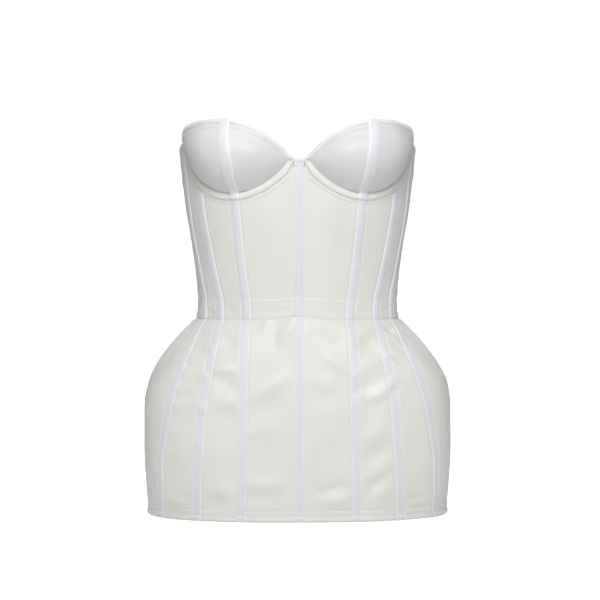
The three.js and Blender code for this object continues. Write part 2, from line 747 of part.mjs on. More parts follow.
function fromManifold(manifold) {
  const mesh = manifold.getMesh();
  const geometry = new THREE.BufferGeometry();
  geometry.setAttribute("position", new THREE.Float32BufferAttribute(mesh.vertProperties, 3));
  geometry.setIndex([...mesh.triVerts]);
  geometry.computeVertexNormals();
  return geometry;
}

// The outer face of the closed chain at the top of the slider, where the two are nearest
function sliderSeat() {
  const top = TAB_AXIS_HEIGHT + SLIDER.above;
  return liftedPoint(BODICE, 180, top, CHAIN_LIFT).y + GAP;
}

function addSlider() {
  const seat = sliderSeat();
  const plate = new THREE.Shape();
  plate.moveTo(-SLIDER.width / 2, SLIDER.above);
  plate.lineTo(SLIDER.width / 2, SLIDER.above);
  plate.lineTo(SLIDER.width / 2, -SLIDER.shoulder);
  plate.lineTo(SLIDER.tailWidth / 2, -SLIDER.below);
  plate.lineTo(-SLIDER.tailWidth / 2, -SLIDER.below);
  plate.lineTo(-SLIDER.width / 2, -SLIDER.shoulder);
  const plateGeometry = new THREE.ExtrudeGeometry(plate, { depth: SLIDER.thick, bevelEnabled: false });
  plateGeometry.rotateX(Math.PI / 2);
  plateGeometry.translate(0, seat + SLIDER.thick, TAB_AXIS_HEIGHT);

  const foot = -TAB_STANDOFF - SLIDER.thick / 2;
  const reach = LUG.inner + LUG.wall;
  const lug = new THREE.Shape();
  lug.moveTo(foot, -reach);
  lug.lineTo(LUG.inner, -reach);
  lug.lineTo(reach, -LUG.inner);
  lug.lineTo(reach, LUG.inner);
  lug.lineTo(LUG.inner, reach);
  lug.lineTo(foot, reach);
  lug.lineTo(foot, LUG.inner);
  lug.lineTo(LUG.inner, LUG.inner);
  lug.lineTo(LUG.inner, -LUG.inner);
  lug.lineTo(foot, -LUG.inner);
  const lugGeometry = new THREE.ExtrudeGeometry(lug, { depth: LUG.width, bevelEnabled: false });
  lugGeometry.translate(0, 0, -LUG.width / 2);
  lugGeometry.rotateX(Math.PI / 2);
  lugGeometry.rotateZ(Math.PI / 2);
  lugGeometry.translate(0, seat + SLIDER.thick + TAB_STANDOFF, TAB_AXIS_HEIGHT);
  const joined = toManifold(plateGeometry).add(toManifold(lugGeometry));
  addMesh("zip_slider", fromManifold(joined), METAL_FINISH);
}

// The tab hangs from its bar, which lies on the hinge axis inside the lug
function addPullTab() {
  const outline = new THREE.Shape();
  const round = TAB.endWidth / 2;
  outline.moveTo(-TAB.width / 2, TAB.bar);
  outline.lineTo(-round, round - TAB.length);
  outline.absarc(0, round - TAB.length, round, Math.PI, 2 * Math.PI, false);
  outline.lineTo(TAB.width / 2, TAB.bar);
  const eye = new THREE.Path();
  eye.moveTo(-TAB.eyeWidth / 2, -TAB.bar);
  eye.lineTo(TAB.eyeWidth / 2, -TAB.bar);
  eye.lineTo(TAB.eyeWidth / 2, -TAB.eyeLength);
  eye.lineTo(-TAB.eyeWidth / 2, -TAB.eyeLength);
  outline.holes.push(eye);
  const options = { depth: TAB.thick, bevelEnabled: false, curveSegments: 10 };
  const geometry = new THREE.ExtrudeGeometry(outline, options);
  geometry.rotateX(Math.PI / 2);
  const axisY = sliderSeat() + SLIDER.thick + TAB_STANDOFF;
  geometry.translate(0, axisY + TAB.thick / 2, TAB_AXIS_HEIGHT);
  addMesh("zip_pull_tab", geometry, METAL_FINISH);
}

for (const part of parts) {
  addPanels(part);
}
addGoreBridge();
addTapes();
addHemRoll();
for (const side of SIDES) {
  addCups(side);
  addCasing(side);
  addCupBinding(side);
  addWingBinding(side);
}
addZip();
addSlider();
addPullTab();

export default group;
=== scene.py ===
"""A strapless boned corset top: its visual model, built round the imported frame.

Every garment function works in millimetres on the body's own surface, by azimuth (degrees from
centre front, positive towards the wearer's left) and height above the waist seam. Meshes are
stored in metres, in the frame's own axes.
"""

import bisect
import functools
import logging
import math
from dataclasses import dataclass, field
from enum import Enum
from typing import Callable, Sequence

import bmesh
import bpy
from mathutils import Matrix, Vector, noise


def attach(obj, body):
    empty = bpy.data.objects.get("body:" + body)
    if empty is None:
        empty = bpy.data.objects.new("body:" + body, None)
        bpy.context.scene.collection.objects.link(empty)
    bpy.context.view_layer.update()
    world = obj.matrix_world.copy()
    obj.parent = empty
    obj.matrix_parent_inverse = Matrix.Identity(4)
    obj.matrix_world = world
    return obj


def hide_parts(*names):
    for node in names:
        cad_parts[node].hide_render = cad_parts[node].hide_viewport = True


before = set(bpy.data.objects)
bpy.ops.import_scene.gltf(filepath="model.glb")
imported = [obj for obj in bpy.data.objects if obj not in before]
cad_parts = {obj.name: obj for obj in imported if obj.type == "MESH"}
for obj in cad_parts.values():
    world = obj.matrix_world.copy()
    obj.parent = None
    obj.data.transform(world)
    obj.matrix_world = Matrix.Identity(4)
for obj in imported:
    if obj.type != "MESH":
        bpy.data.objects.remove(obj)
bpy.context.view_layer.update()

LOG = logging.getLogger("corset")
MM = 0.001

# Sizes in millimetres; the peak's width is in degrees and the cup's turn is a share
WALL = 1.6
PAD = 2.6
GAP = 0.3
WAIST_PEAK = 4.0
WAIST_PEAK_WIDTH = 16.0
WAIST_PEAK_FADE = 45.0
HALF_TAPE = 5.5
ROLL_HEIGHT = 4.8
ROLL_THICK = 4.2
HEM_ROLL_HEIGHT = 5.8
HEM_HEIGHT = -225.5
HEM_EDGE = HEM_HEIGHT + HEM_ROLL_HEIGHT
ZIP_OPENING = 10.0
LINE_SIX_MARGIN = 1.0
CASING_WIDTH = 10.0
CUP_TURN = 0.5
CUP_SEAT = 0.7
ROLL_RISE = GAP + ROLL_HEIGHT / 2 - 0.2
TAPE_STITCH = 4.5
PUCKER_REACH = 24.0
PUCKER_FADE = 5.0
# The azimuths in degrees where creases are calm, and past which tapes calm them
CALM_SIDE = 86
CALM_SPAN = 17
CALM_TAPES = 54
SEAM_OFFSETS = (GAP / 2, 2.5, 4.6, 5.2, 5.7, 6.2, 7.0, 8.4)
# Over how many degrees or millimetres each way, and what share of a cup, slopes are read
STEP = 0.5
CUP_STEP = 0.01
LINE_NAMES = ("one", "two", "three", "four", "five", "six")

Column = Callable[[float], float]
Place = Callable[[int, int], Vector]
Lift = Callable[[float, float], float]
Run = list[tuple[Vector, Vector]]
Station = tuple[Vector, Vector, Vector, float]
Colour = tuple[float, float, float]


class Side(Enum):
    """The wearer's left and right, with the sign of their azimuths."""

    LEFT = 1
    RIGHT = -1

    @property
    def label(self) -> str:
        """The side's name in node names."""
        return self.name.lower()


class Slot(Enum):
    """The record's material slots."""

    BODY = "body_satin"
    CUP = "cup_satin"
    TAPE = "boning_tape"
    ZIP_TAPE = "zip_tape"
    METAL = "zip_metal"


class Table:
    """Columns of values read smoothly by the first one, and straight on past the ends."""

    def __init__(self, names: str, *rows: Sequence[float]) -> None:
        """Stores the columns and the slope of each at each row.

        Args:
            names: the value columns' names, after the key.
            rows: the key and the values of each row, in rising order of key.
        """
        self.keys = [row[0] for row in rows]
        self.values = {name: [row[i + 1] for row in rows] for i, name in enumerate(names.split())}
        self.slopes = {name: self._slopes(column) for name, column in self.values.items()}

    def _slopes(self, column: Sequence[float]) -> list[float]:
        """The slope at each row, flat at a turning point.

        Args:
            column: the values of one column.

        Returns:
            The slopes, row by row.
        """
        keys = self.keys
        rises = [
            (column[i + 1] - column[i]) / (keys[i + 1] - keys[i]) for i in range(len(keys) - 1)
        ]
        inner = [
            0.0 if a * b <= 0 else 2 * a * b / (a + b) for a, b in zip(rises, rises[1:])
        ]
        return [rises[0], *inner, rises[-1]]

    def at(self, name: str, key: float) -> float:
        """The column's value at a key.

        Args:
            name: the column.
            key: where to read it.

        Returns:
            The value there.
        """
        keys, values, slopes = self.keys, self.values[name], self.slopes[name]
        if key <= keys[0]:
            return values[0] + (key - keys[0]) * slopes[0]
        if key >= keys[-1]:
            return values[-1] + (key - keys[-1]) * slopes[-1]
        i = bisect.bisect_right(keys, key) - 1
        width = keys[i + 1] - keys[i]
        t = (key - keys[i]) / width
        ease = t * t * (3 - 2 * t)
        lead = t * (1 - t) * (1 - t) * slopes[i] * width
        trail = t * t * (t - 1) * slopes[i + 1] * width
        return values[i] * (1 - ease) + values[i + 1] * ease + lead + trail


# Level sections of the body by height
BODICE_SECTIONS = Table(
    "half_width front back square",
    (0, 119.4, 86, 80, 2.1),
    (21, 117.2, 85, 78, 2.1),
    (45, 118.8, 88, 80.5, 2.15),
    (73, 122.2, 92, 85, 2.2),
    (102, 127.2, 96, 90, 2.2),
    (130, 131.5, 98.5, 94.5, 2.2),
    (160, 135, 99, 98, 2.2),
    (190, 138.2, 97, 100, 2.2),
    (230, 138.5, 93, 101, 2.2),
)
SKIRT_SECTIONS = Table(
    "half_width front back square",
    (-226, 174.6, 101, 107, 2.6),
    (-190, 177.6, 103, 109, 2.6),
    (-150, 179.8, 104, 110, 2.6),
    (-100, 179.6, 103.5, 108, 2.6),
    (-76, 175.8, 102, 105, 2.55),
    (-56, 167.5, 100, 100, 2.45),
    (-36, 154, 97, 94, 2.3),
    (-18, 139, 93, 88, 2.2),
    (0, 121, 86, 80, 2.1),
)
# The boning lines' azimuths by height
BODICE_LINES = Table(
    "one two three four five",
    (0, 37.3, 56, 69.8, 101, 137),
    (30, 38.7, 58, 71.8, 100.5, 137),
    (60, 39.3, 59.6, 73.5, 100, 137.5),
    (100, 39.4, 61, 75, 99.5, 138),
    (150, 39.5, 62, 75, 99, 139),
    (205, 39.5, 62.5, 75, 98.5, 140),
)
SKIRT_LINES = Table(
    "one two three four five",
    (-226, 32.9, 52.8, 68.6, 107, 139),
    (-165, 32.2, 51.2, 67.4, 109, 140),
    (-110, 31.9, 49.7, 64, 111, 141),
    (-62, 32.5, 49, 61.8, 111, 141),
    (-38, 33.4, 50, 63, 109, 140),
    (-18, 35, 51.9, 65.2, 106, 138),
    (0, 37, 55.4, 69.2, 102, 137),
)
# Heights of the underwire and of the sides' and back's top edge by azimuth
WIRE = Table(
    "height",
    (0, 180), (3.2, 180), (5.5, 176.8), (8, 170.6), (11, 164.5), (16, 156.5), (22, 149.2),
    (29, 143.2), (36, 139.6), (43, 139.2), (50, 142.3), (57, 149.2), (62.5, 158.5), (66.5, 170),
    (69.5, 182), (72, 192.5), (75, 200),
)
WING = Table(
    "height",
    (75, 200), (80, 197.5), (90, 190.5), (100, 184), (120, 173), (150, 164), (180, 160),
)
WIRE_END = 75.0
BACK_TOP = WING.values["height"][-1]
# The cup by share across it, and its seam and swell by share of its height
CUP = Table(
    "foot top_azimuth top_height bulge",
    (0, 5, 5.5, 179.8, 0.8),
    (0.1, 8, 9.8, 187.4, 7),
    (0.2, 12.5, 16, 197.2, 15),
    (0.3, 19, 24, 208, 24),
    (0.4, 28, 34, 217.5, 31),
    (0.5, 39.5, 45, 221.1, 34),
    (0.6, 48.5, 53.4, 221.4, 32.5),
    (0.7, 56.5, 60.6, 219.9, 27),
    (0.8, 63, 67, 218, 19),
    (0.9, 68.5, 72.5, 215.6, 10),
    (1, 73.4, 77, 211.5, 2.5),
)
CUP_SEAM = Table(
    "share", (0, 0.5), (0.15, 0.489), (0.35, 0.474), (0.5, 0.47), (0.75, 0.475), (1, 0.484)
)
CUP_PROFILE = Table(
    "share",
    (0, 0), (0.1, 0.35), (0.22, 0.64), (0.36, 0.88), (0.52, 1), (0.68, 0.96), (0.84, 0.78),
    (1, 0.52),
)
# The same profile with its turns eased, so that light runs evenly over the cup
CUP_SWELL = Table(
    "share",
    *(
        (up / 20, sum(CUP_PROFILE.at("share", up / 20 + ease) for ease in (-0.09, 0, 0.09)) / 3)
        for up in range(-1, 22)
    ),
)
# Section of the underwire casing by millimetres below the wire: tube, stitched groove, flange
CASING_SECTION = Table(
    "lift",
    (-1.8, 1.6), (-1.1, 1.75), (-0.4, 2.15), (0.4, 2.7), (1.4, 3.15), (2.7, 3.35), (4, 3.15),
    (5, 2.55), (5.8, 1.5), (6.3, 0.8), (7, 0.55), (8, 0.6), (9, 0.5), (9.6, 0.35), (10, 0.15),
)
# Section of a boning tape by millimetres from its middle: the bone, the stitched edge and the rim
TAPE_SECTION = Table(
    "lift",
    (0, 1.9), (1.6, 1.86), (2.8, 1.7), (3.7, 1.4), (4.4, 1.05), (4.9, 0.95), (5.5, 0.6),
)
TAPE_EDGE = 0.6
TAPE_OFFSETS = (
    -5.5, -5.2, -4.8, -4.3, -3.8, -3.2, -2.5, -1.6, 0, 1.6, 2.5, 3.2, 3.8, 4.3, 4.8, 5.2, 5.5,
)
STAY_HEIGHT = 20.5
HEM_STITCH_HEIGHT = HEM_HEIGHT + 12.6
CUP_BAND = 8.8
CUP_SPAN = 185.0


@dataclass(frozen=True)
class Crease:
    """A soft ridge or trough in the cloth, uneven along its length.

    The tilt is from level, rising towards the wearer's left. A flare widens one end.
    """

    azimuth: float
    height: float
    length: float
    tilt: float
    width: float
    depth: float
    flare: float = 0.0

    def rise(self, around: float, up: float) -> float:
        """How far the cloth stands out at a point, from its millimetres round and up.

        Args:
            around: millimetres round the body from the crease's middle.
            up: millimetres above it.

        Returns:
            The rise, as a share of the part's fold depth.
        """
        angle = math.radians(self.tilt)
        along = around * math.cos(angle) + up * math.sin(angle)
        share = 2 * along / self.length
        if abs(share) >= 1:
            return 0.0
        across = up * math.cos(angle) - around * math.sin(angle)
        width = self.width * (1 + self.flare * share)
        return self.depth * (1 - share * share) ** 2 * math.exp(-((across / width) ** 2))


def creases(*rows: Sequence[float]) -> tuple[Crease, ...]:
    """Creases from rows of their sizes, in the order of the fields."""
    return tuple(Crease(*row) for row in rows)


# Centre front, then the right side's front panels, then the left side's, then the sides and back
SKIRT_CREASES = creases(
    (-16, -74, 78, 28, 8.4, 0.95, 0.3), (-17, -97, 58, 20, 9.6, -0.6), (-17, -20, 52, 97, 6, -0.6),
    (-6.5, -10, 49, 62, 6, 0.7), (-22.5, -8, 38, 100, 6, 0.5), (-23, -124, 41, 20, 7.2, 0.5),
    (-21, -183, 70, 0, 6.6, 0.6), (-22, -198, 67, 2, 7.2, -0.5), (-20, -147, 67, 66, 10.8, -0.45),
    (18.5, -18, 49, 10, 7.2, -0.55), (23.5, -50, 46, -36, 6, 0.85, 0.25),
    (17, -72, 52, -22, 8.4, 0.5), (25.5, -24, 29, 8, 6, -0.6), (13, -92, 49, -14, 10.8, -0.5),
    (19, -99, 44, 24, 9.6, 0.5), (18.5, -189, 49, 17, 5.4, -0.7), (23, -201, 44, 12, 6, 0.7),
    (6, -150, 58, 72, 10.8, 0.4), (17, -150, 49, 40, 9.6, -0.4), (-43, -27, 29, -6, 6, -0.7),
    (-42.5, -56, 38, 6, 6, 0.9), (-41, -70, 38, 2, 7.8, -0.8), (-39, -92, 38, 14, 7.2, 0.8),
    (-39, -110, 41, 8, 9.6, -0.5), (-41, -190, 38, 30, 10.8, 0.8), (-44, -206, 41, 40, 6, -0.85),
    (-40, -150, 44, 60, 10.8, 0.45), (-59, -33, 20, 16, 2.4, -0.57), (-58, -43, 20, 16, 2.4, 0.45),
    (-58.5, -52, 22, 14, 2.5, -0.48), (-58.5, -61, 22, 12, 2.4, 0.36),
    (-58.5, -70, 26, 18, 2.5, -0.57), (-58.5, -78, 26, 16, 2.9, 0.54),
    (-59, -87, 26, 18, 2.6, -0.63), (-60, -97, 26, 16, 3.3, 0.48), (-61.5, -108, 24, 24, 3, -0.42),
    (-61, -126, 26, 12, 4.6, 0.48), (-63, -140, 22, 34, 4, -0.48), (-61, -154, 26, 60, 4, 0.36),
    (-62, -170, 30, 70, 4, -0.48), (-61.5, -201, 30, 56, 2.9, 0.9, 0.45),
    (-57.2, -203, 26, 124, 2.4, -0.81, -0.35), (-58.5, -210, 20, 100, 4.3, 0.72),
    (43, -14, 35, 4, 6, 0.8), (42.5, -30, 38, 12, 9.6, -0.9), (41, -50, 38, 10, 7.2, 0.55),
    (39.5, -72, 41, 26, 7.2, -0.85), (43, -84, 44, 30, 6, 1, 0.3), (40, -96, 38, 22, 8.4, -0.55),
    (40.5, -128, 49, 28, 9.6, 0.85), (41.5, -150, 49, 34, 7.8, -0.75),
    (43.5, -168, 52, 44, 7.2, 0.8), (42, -182, 52, 48, 6, -1.05), (43, -198, 52, 50, 6.6, 1),
    (39.5, -205, 35, 44, 4.8, -0.6), (59, -13, 18, -18, 2.5, -0.85),
    (58.5, -22, 20, -20, 2.6, 0.54), (58.5, -31, 22, -26, 2.5, -0.57),
    (57, -40, 26, -30, 2.9, 0.54), (56.5, -50, 26, -36, 2.6, -0.48),
    (55.5, -66, 30, -40, 5.3, 0.42), (56.5, -88, 30, 30, 4.6, -0.3),
    (58, -152, 54, 104, 4.3, -0.75, 0.25), (61.5, -172, 50, 104, 4, 0.66),
    (59, -188, 42, 118, 3.6, -0.54), (58, -201, 34, 18, 2, -0.6), (60, -207, 32, 14, 1.8, 0.51),
    (-51, -33, 17, 8, 4.5, 0.51), (-50.5, -63, 17, 14, 5, 0.54), (-50, -99, 17, 10, 5, 0.54),
    (-50, -140, 18, 16, 6, 0.38), (-65.5, -17, 16, 18, 3.5, 0.42), (-64, -33, 16, 14, 4, 0.45),
    (-62.5, -50, 16, 12, 4, 0.45), (33, -62, 17, 12, 5, 0.51), (34, -13, 17, 6, 4, 0.51),
    (32.5, -80, 17, 14, 5, -0.45), (50.5, -42, 17, -8, 4.5, 0.51), (50, -69, 17, 16, 4.5, 0.51),
    (50, -79, 17, 16, 4, -0.45), (65, -16, 16, -18, 3.5, 0.45), (63.5, -38, 16, -24, 5, 0.45),
    (-79, -36, 46, 56, 9.9, 0.66), (-74, -52, 40, 62, 8.8, -0.55), (-84, -70, 46, 74, 11, -0.44),
    (-78, -110, 60, 84, 9.9, 0.5), (-90, -140, 64, 88, 12.1, -0.44),
    (-77, -178, 60, 84, 9.9, -0.44), (-96, -48, 34, 20, 7.7, -0.5), (-98, -66, 36, 14, 7.7, 0.44),
    (-99, -202, 34, 40, 7.7, 0.55, 0.4), (78, -34, 44, -60, 8.8, 0.61),
    (74, -50, 42, -64, 8.8, -0.55), (84, -72, 46, -72, 11, 0.44), (79, -118, 62, 98, 9.9, -0.5),
    (90, -146, 60, 92, 12.1, 0.44), (76, -186, 54, 96, 8.8, 0.5), (94, -40, 34, -16, 7.7, -0.44),
    (98, -60, 36, -12, 7.7, 0.44), (97, -204, 34, -38, 6.6, -0.55, 0.4),
    (-122, -18, 44, 8, 6, -0.8), (-124, -34, 46, 12, 6, 0.8), (-122, -52, 46, 10, 6.5, -0.8),
    (-126, -72, 50, 16, 8, 0.7), (-120, -96, 50, 10, 9, -0.6), (-126, -130, 54, 60, 9, 0.6),
    (-120, -160, 50, 76, 9, -0.7), (-127, -196, 40, 34, 6, 0.9, 0.3), (123, -20, 44, -6, 6, -0.8),
    (121, -38, 48, -12, 6, 0.8), (124, -56, 46, -14, 6.5, -0.8), (121, -78, 50, -12, 8, 0.7),
    (126, -104, 50, -10, 9, -0.6), (121, -140, 54, 112, 9, 0.6), (127, -168, 50, 100, 9, -0.7),
    (122, -200, 40, -30, 6, 0.9, 0.3), (-157, -22, 44, 10, 6, -0.7), (-160, -44, 44, 14, 6.5, 0.8),
    (-158, -70, 46, 18, 7, -0.7), (-161, -104, 50, 30, 8, 0.6), (-156, -150, 50, 66, 9, -0.6),
    (-160, -198, 40, 12, 6, 0.8), (158, -26, 44, -12, 6, 0.7), (160, -48, 44, -10, 6.5, -0.8),
    (157, -76, 46, -20, 7, 0.7), (161, -112, 50, -34, 8, -0.6), (157, -156, 50, 112, 9, 0.6),
    (160, -202, 40, -14, 6, -0.8),
)
BODICE_CREASES = creases(
    (-17, 6.5, 44, 4, 3.2, -0.5), (-20, 108, 60, 24, 16, 0.35), (15, 112, 60, -30, 16, 0.3),
    (18, 60, 70, 84, 14, -0.3), (-18, 52, 70, 96, 14, -0.3), (22, 8, 34, -6, 3.6, -0.45),
    (-49, 9, 20, 10, 3.4, -0.6), (-48, 72, 26, 4, 7, -0.3), (-65, 8, 16, 14, 2.4, -0.8),
    (-66, 14, 18, -26, 2.2, 0.6), (-69, 117, 17, 3, 1.7, -0.34), (-69, 111, 17, 2, 1.6, 0.3),
    (-69, 106, 17, 4, 1.8, -0.34), (-68, 100, 17, 2, 1.6, 0.3), (-68, 94, 17, 3, 1.8, -0.32),
    (-67.5, 87, 17, 3, 1.8, 0.3), (-67.5, 80, 18, 2, 1.8, -0.34), (-67, 72, 18, 3, 2, 0.3),
    (-66.5, 64, 17, 2, 2, -0.34), (-66, 55, 17, 3, 2.2, 0.26), (68, 112, 17, -3, 1.8, -0.28),
    (68, 96, 17, -2, 2, 0.26), (67.5, 82, 17, -3, 2, -0.28), (66.5, 62, 17, -2, 2.2, 0.24),
    (64, 9, 16, -12, 2.4, -0.8), (64.5, 15, 17, 20, 2.2, 0.55), (48, 10, 22, -8, 3.6, -0.5),
    (-85, 12, 34, 12, 3.2, -0.9), (-82, 30, 30, -18, 3, 0.6), (-88, 100, 40, 80, 9, -0.5),
    (-88, 160, 36, 12, 5, 0.5), (84, 12, 34, -14, 3.2, -0.9), (83, 29, 30, 16, 3, 0.6),
    (88, 96, 40, 98, 9, -0.5), (86, 168, 30, -16, 5, 0.5), (-118, 10, 44, 6, 3.4, -0.7),
    (-120, 34, 44, 10, 4, 0.5), (-119, 84, 50, 8, 7, -0.4), (-119, 140, 44, 14, 6, 0.5),
    (119, 11, 44, -8, 3.4, -0.7), (118, 38, 44, -6, 4, 0.5), (120, 90, 50, -10, 7, -0.4),
    (118, 136, 44, -10, 6, 0.5), (-155, 12, 44, 8, 3.6, -0.6), (-156, 60, 46, 10, 6, 0.4),
    (-154, 128, 44, 16, 6, -0.5), (155, 10, 44, -6, 3.6, -0.6), (156, 56, 46, -12, 6, 0.4),
    (154, 122, 44, -12, 6, -0.5),
)


def bell(distance: float, width: float) -> float:
    """A soft bump of height one at no distance."""
    return math.exp(-((distance / width) ** 2))


def waist_rise(azimuth: float, height: float) -> float:
    """How far the waist's level line rises in a peak at centre front."""
    return WAIST_PEAK * bell(azimuth, WAIST_PEAK_WIDTH) * math.exp(-abs(height) / WAIST_PEAK_FADE)


@dataclass
class Shell:
    """One part of the body's surface, the bodice's or the skirt's, with its boning lines."""

    name: str
    sections: Table
    lines: Table
    creases: Sequence[Crease]
    fold_depth: float
    pucker: float
    tape_crown: float
    rows: dict[float, tuple[float, ...]] = field(default_factory=dict)
    seams: dict[float, tuple[float, ...]] = field(default_factory=dict)
    folds: list[tuple[Crease, float]] = field(default_factory=list)

    def __post_init__(self) -> None:
        """Works out each crease's millimetres for a degree."""
        self.folds = [
            (crease, self.spread(crease.azimuth, crease.height)) for crease in self.creases
        ]

    def section(self, height: float) -> tuple[float, ...]:
        """The level section's half width, depths and squareness at a height.

        Args:
            height: millimetres above the waist seam.

        Returns:
            The four values.
        """
        if height not in self.rows:
            names = ("half_width", "front", "back", "square")
            self.rows[height] = tuple(self.sections.at(name, height) for name in names)
        return self.rows[height]

    def point(self, azimuth: float, height: float) -> Vector:
        """The surface's point at an azimuth and height.

        Args:
            azimuth: degrees from centre front.
            height: millimetres above the waist seam.

        Returns:
            The point, in millimetres.
        """
        half_width, front, back, square = self.section(height)
        angle = math.radians(azimuth)
        sine, cosine = math.sin(angle), math.cos(angle)
        depth = front if cosine > 0 else back
        total = (abs(sine) / half_width) ** square + (abs(cosine) / depth) ** square
        radius = total ** (-1 / square)
        return Vector((radius * sine, -radius * cosine, height + waist_rise(azimuth, height)))

    def spread(self, azimuth: float, height: float) -> float:
        """Millimetres round the body for one degree."""
        return (self.point(azimuth + STEP, height) - self.point(azimuth - STEP, height)).length

    def lifted(self, azimuth: float, height: float, lift: float) -> Vector:
        """A point moved out level until it stands the lift away, square to the cloth.

        Args:
            azimuth: degrees from centre front.
            height: millimetres above the waist seam.
            lift: millimetres out of the cloth.

        Returns:
            The point, in millimetres.
        """
        point = self.point(azimuth, height)
        around = self.point(azimuth + STEP, height) - self.point(azimuth - STEP, height)
        rising = self.point(azimuth, height + STEP) - self.point(azimuth, height - STEP)
        normal = around.cross(rising).normalized()
        flat = Vector((normal.x, normal.y, 0.0))
        return point + flat * (lift / flat.length_squared)

    def outward(self, azimuth: float, height: float) -> Vector:
        """The level way out of the cloth at a point."""
        return (self.lifted(azimuth, height, 1) - self.point(azimuth, height)).normalized()

    def line(self, name: str) -> Column:
        """The azimuth of a boning line by height, on the wearer's left.

        Args:
            name: the line's number in words.

        Returns:
            The line's column.
        """
        if name == "six":
            inset = ZIP_OPENING / 2 + HALF_TAPE + LINE_SIX_MARGIN
            return lambda height: 180 - inset / self.spread(180, height)
        return lambda height: self.lines.at(name, height)

    def zip_edge(self, height: float) -> float:
        """The azimuth of the cloth's edge beside the zip."""
        return 180 - ZIP_OPENING / 2 / self.spread(180, height)

    def relief(self, azimuth: float, height: float) -> float:
        """How far the creases move the cloth out at a point.

        Args:
            azimuth: degrees from centre front.
            height: millimetres above the waist seam.

        Returns:
            The lift in millimetres, calmer at the sides and beside the tapes.
        """
        total = 0.0
        for crease, spread in self.folds:
            around = (azimuth - crease.azimuth) * spread
            up = height - crease.height
            if abs(around) < crease.length and abs(up) < crease.length:
                total += crease.rise(around, up)
        if not total:
            return 0.0
        calm = 0.5 * bell(abs(azimuth) - CALM_SIDE, CALM_SPAN)
        if abs(azimuth) > CALM_TAPES:
            near = min(abs(abs(azimuth) - line) for line in self.all_lines(height))
            calm += 0.35 * bell(near * self.spread(azimuth, height), 8.0)
        return total * self.fold_depth * (1 - calm)

    def seam_relief(self, azimuth: float, height: float) -> float:
        """How sewing draws the cloth in beside the boning lines.

        Args:
            azimuth: degrees from centre front.
            height: millimetres above the waist seam.

        Returns:
            The lift in millimetres.
        """
        spread = self.spread(azimuth, height)
        total = 0.0
        for index, line in enumerate(self.all_lines(height)):
            distance = abs(abs(azimuth) - line) * spread
            total += self._beside_line(distance, height, math.copysign(index, azimuth))
        return total

    def all_lines(self, height: float) -> tuple[float, ...]:
        """The azimuths of the centre front and of the six lines beside it at a height.

        Args:
            height: millimetres above the waist seam.

        Returns:
            The seven azimuths.
        """
        if height not in self.seams:
            self.seams[height] = (0.0, *(self.line(name)(height) for name in LINE_NAMES))
        return self.seams[height]

    def _beside_line(self, distance: float, height: float, phase: float) -> float:
        """The stitched groove beside one line, and the small puckers that run out of it.

        Args:
            distance: millimetres from the line.
            height: millimetres above the waist seam.
            phase: what sets this line's puckers apart.

        Returns:
            The lift in millimetres.
        """
        if distance > PUCKER_REACH:
            return 0.0
        groove = 0.3 * bell(distance - 7.4, 1.3) - 0.3 * bell(distance - 5.8, 0.6)
        if distance < HALF_TAPE:
            return groove
        wave = math.sin(height * 1.02 + phase * 1.9 + 2.2 * noise.noise((height * 0.05, phase, 0)))
        return groove + self.pucker * wave * math.exp(-(distance - HALF_TAPE) / PUCKER_FADE)


BODICE = Shell("bodice", BODICE_SECTIONS, BODICE_LINES, BODICE_CREASES, 2.6, 0.14, 0.8)
SKIRT = Shell("skirt", SKIRT_SECTIONS, SKIRT_LINES, SKIRT_CREASES, 3.3, 0.16, 0.3)


def wire_height(azimuth: float) -> float:
    """The underwire's height."""
    return WIRE.at("height", abs(azimuth))


def below_wire(distance: float) -> Column:
    """The height a distance below the underwire, square to it, by azimuth.

    Args:
        distance: millimetres below the wire.

    Returns:
        The row.
    """

    def height(azimuth: float) -> float:
        """The height at an azimuth."""
        at = abs(azimuth)
        rise = wire_height(at + 1) - wire_height(max(at - 1, 0))
        run = 2 * BODICE.spread(at, wire_height(at))
        return wire_height(at) - distance * math.hypot(1, rise / run)

    return height


def wing_height(azimuth: float) -> float:
    """The cloth edge's height at the sides and back."""
    return WING.at("height", abs(azimuth))


def bodice_edge(azimuth: float) -> float:
    """The height of the bodice panels' top edge."""
    return below_wire(GAP / 2)(azimuth) if abs(azimuth) < WIRE_END else wing_height(azimuth)


def beside(shell: Shell, column: Column, offset: float) -> Column:
    """A column a distance beside another one.

    Args:
        shell: the part of the body.
        column: the other column.
        offset: millimetres towards the wearer's left.

    Returns:
        The new column.
    """

    def azimuth(height: float) -> float:
        """The azimuth at a height."""
        at = column(height)
        return at + offset / shell.spread(at, height)

    return azimuth


def mirrored(column: Column) -> Column:
    """The same column on the other side."""
    return lambda height: -column(height)


def centre_front(height: float) -> float:
    """The centre front line."""
    return 0.0


def crossing(column: Column, row: Column) -> tuple[float, float]:
    """The azimuth and height where a column and a row cross.

    Args:
        column: the column.
        row: the row.

    Returns:
        The azimuth and height.
    """
    height = row(column(100))
    for _ in range(12):
        azimuth = column(height)
        last, height = height, row(azimuth)
        if abs(height - last) < 1e-3:
            break
    return azimuth, height


def level(height: float) -> Column:
    """A level row."""
    return lambda azimuth: height


def steps(start: float, end: float, size: float) -> list[float]:
    """Evenly spaced values from start to end, about a size apart."""
    count = max(1, round(abs(end - start) / size))
    return [start + (end - start) * i / count for i in range(count + 1)]


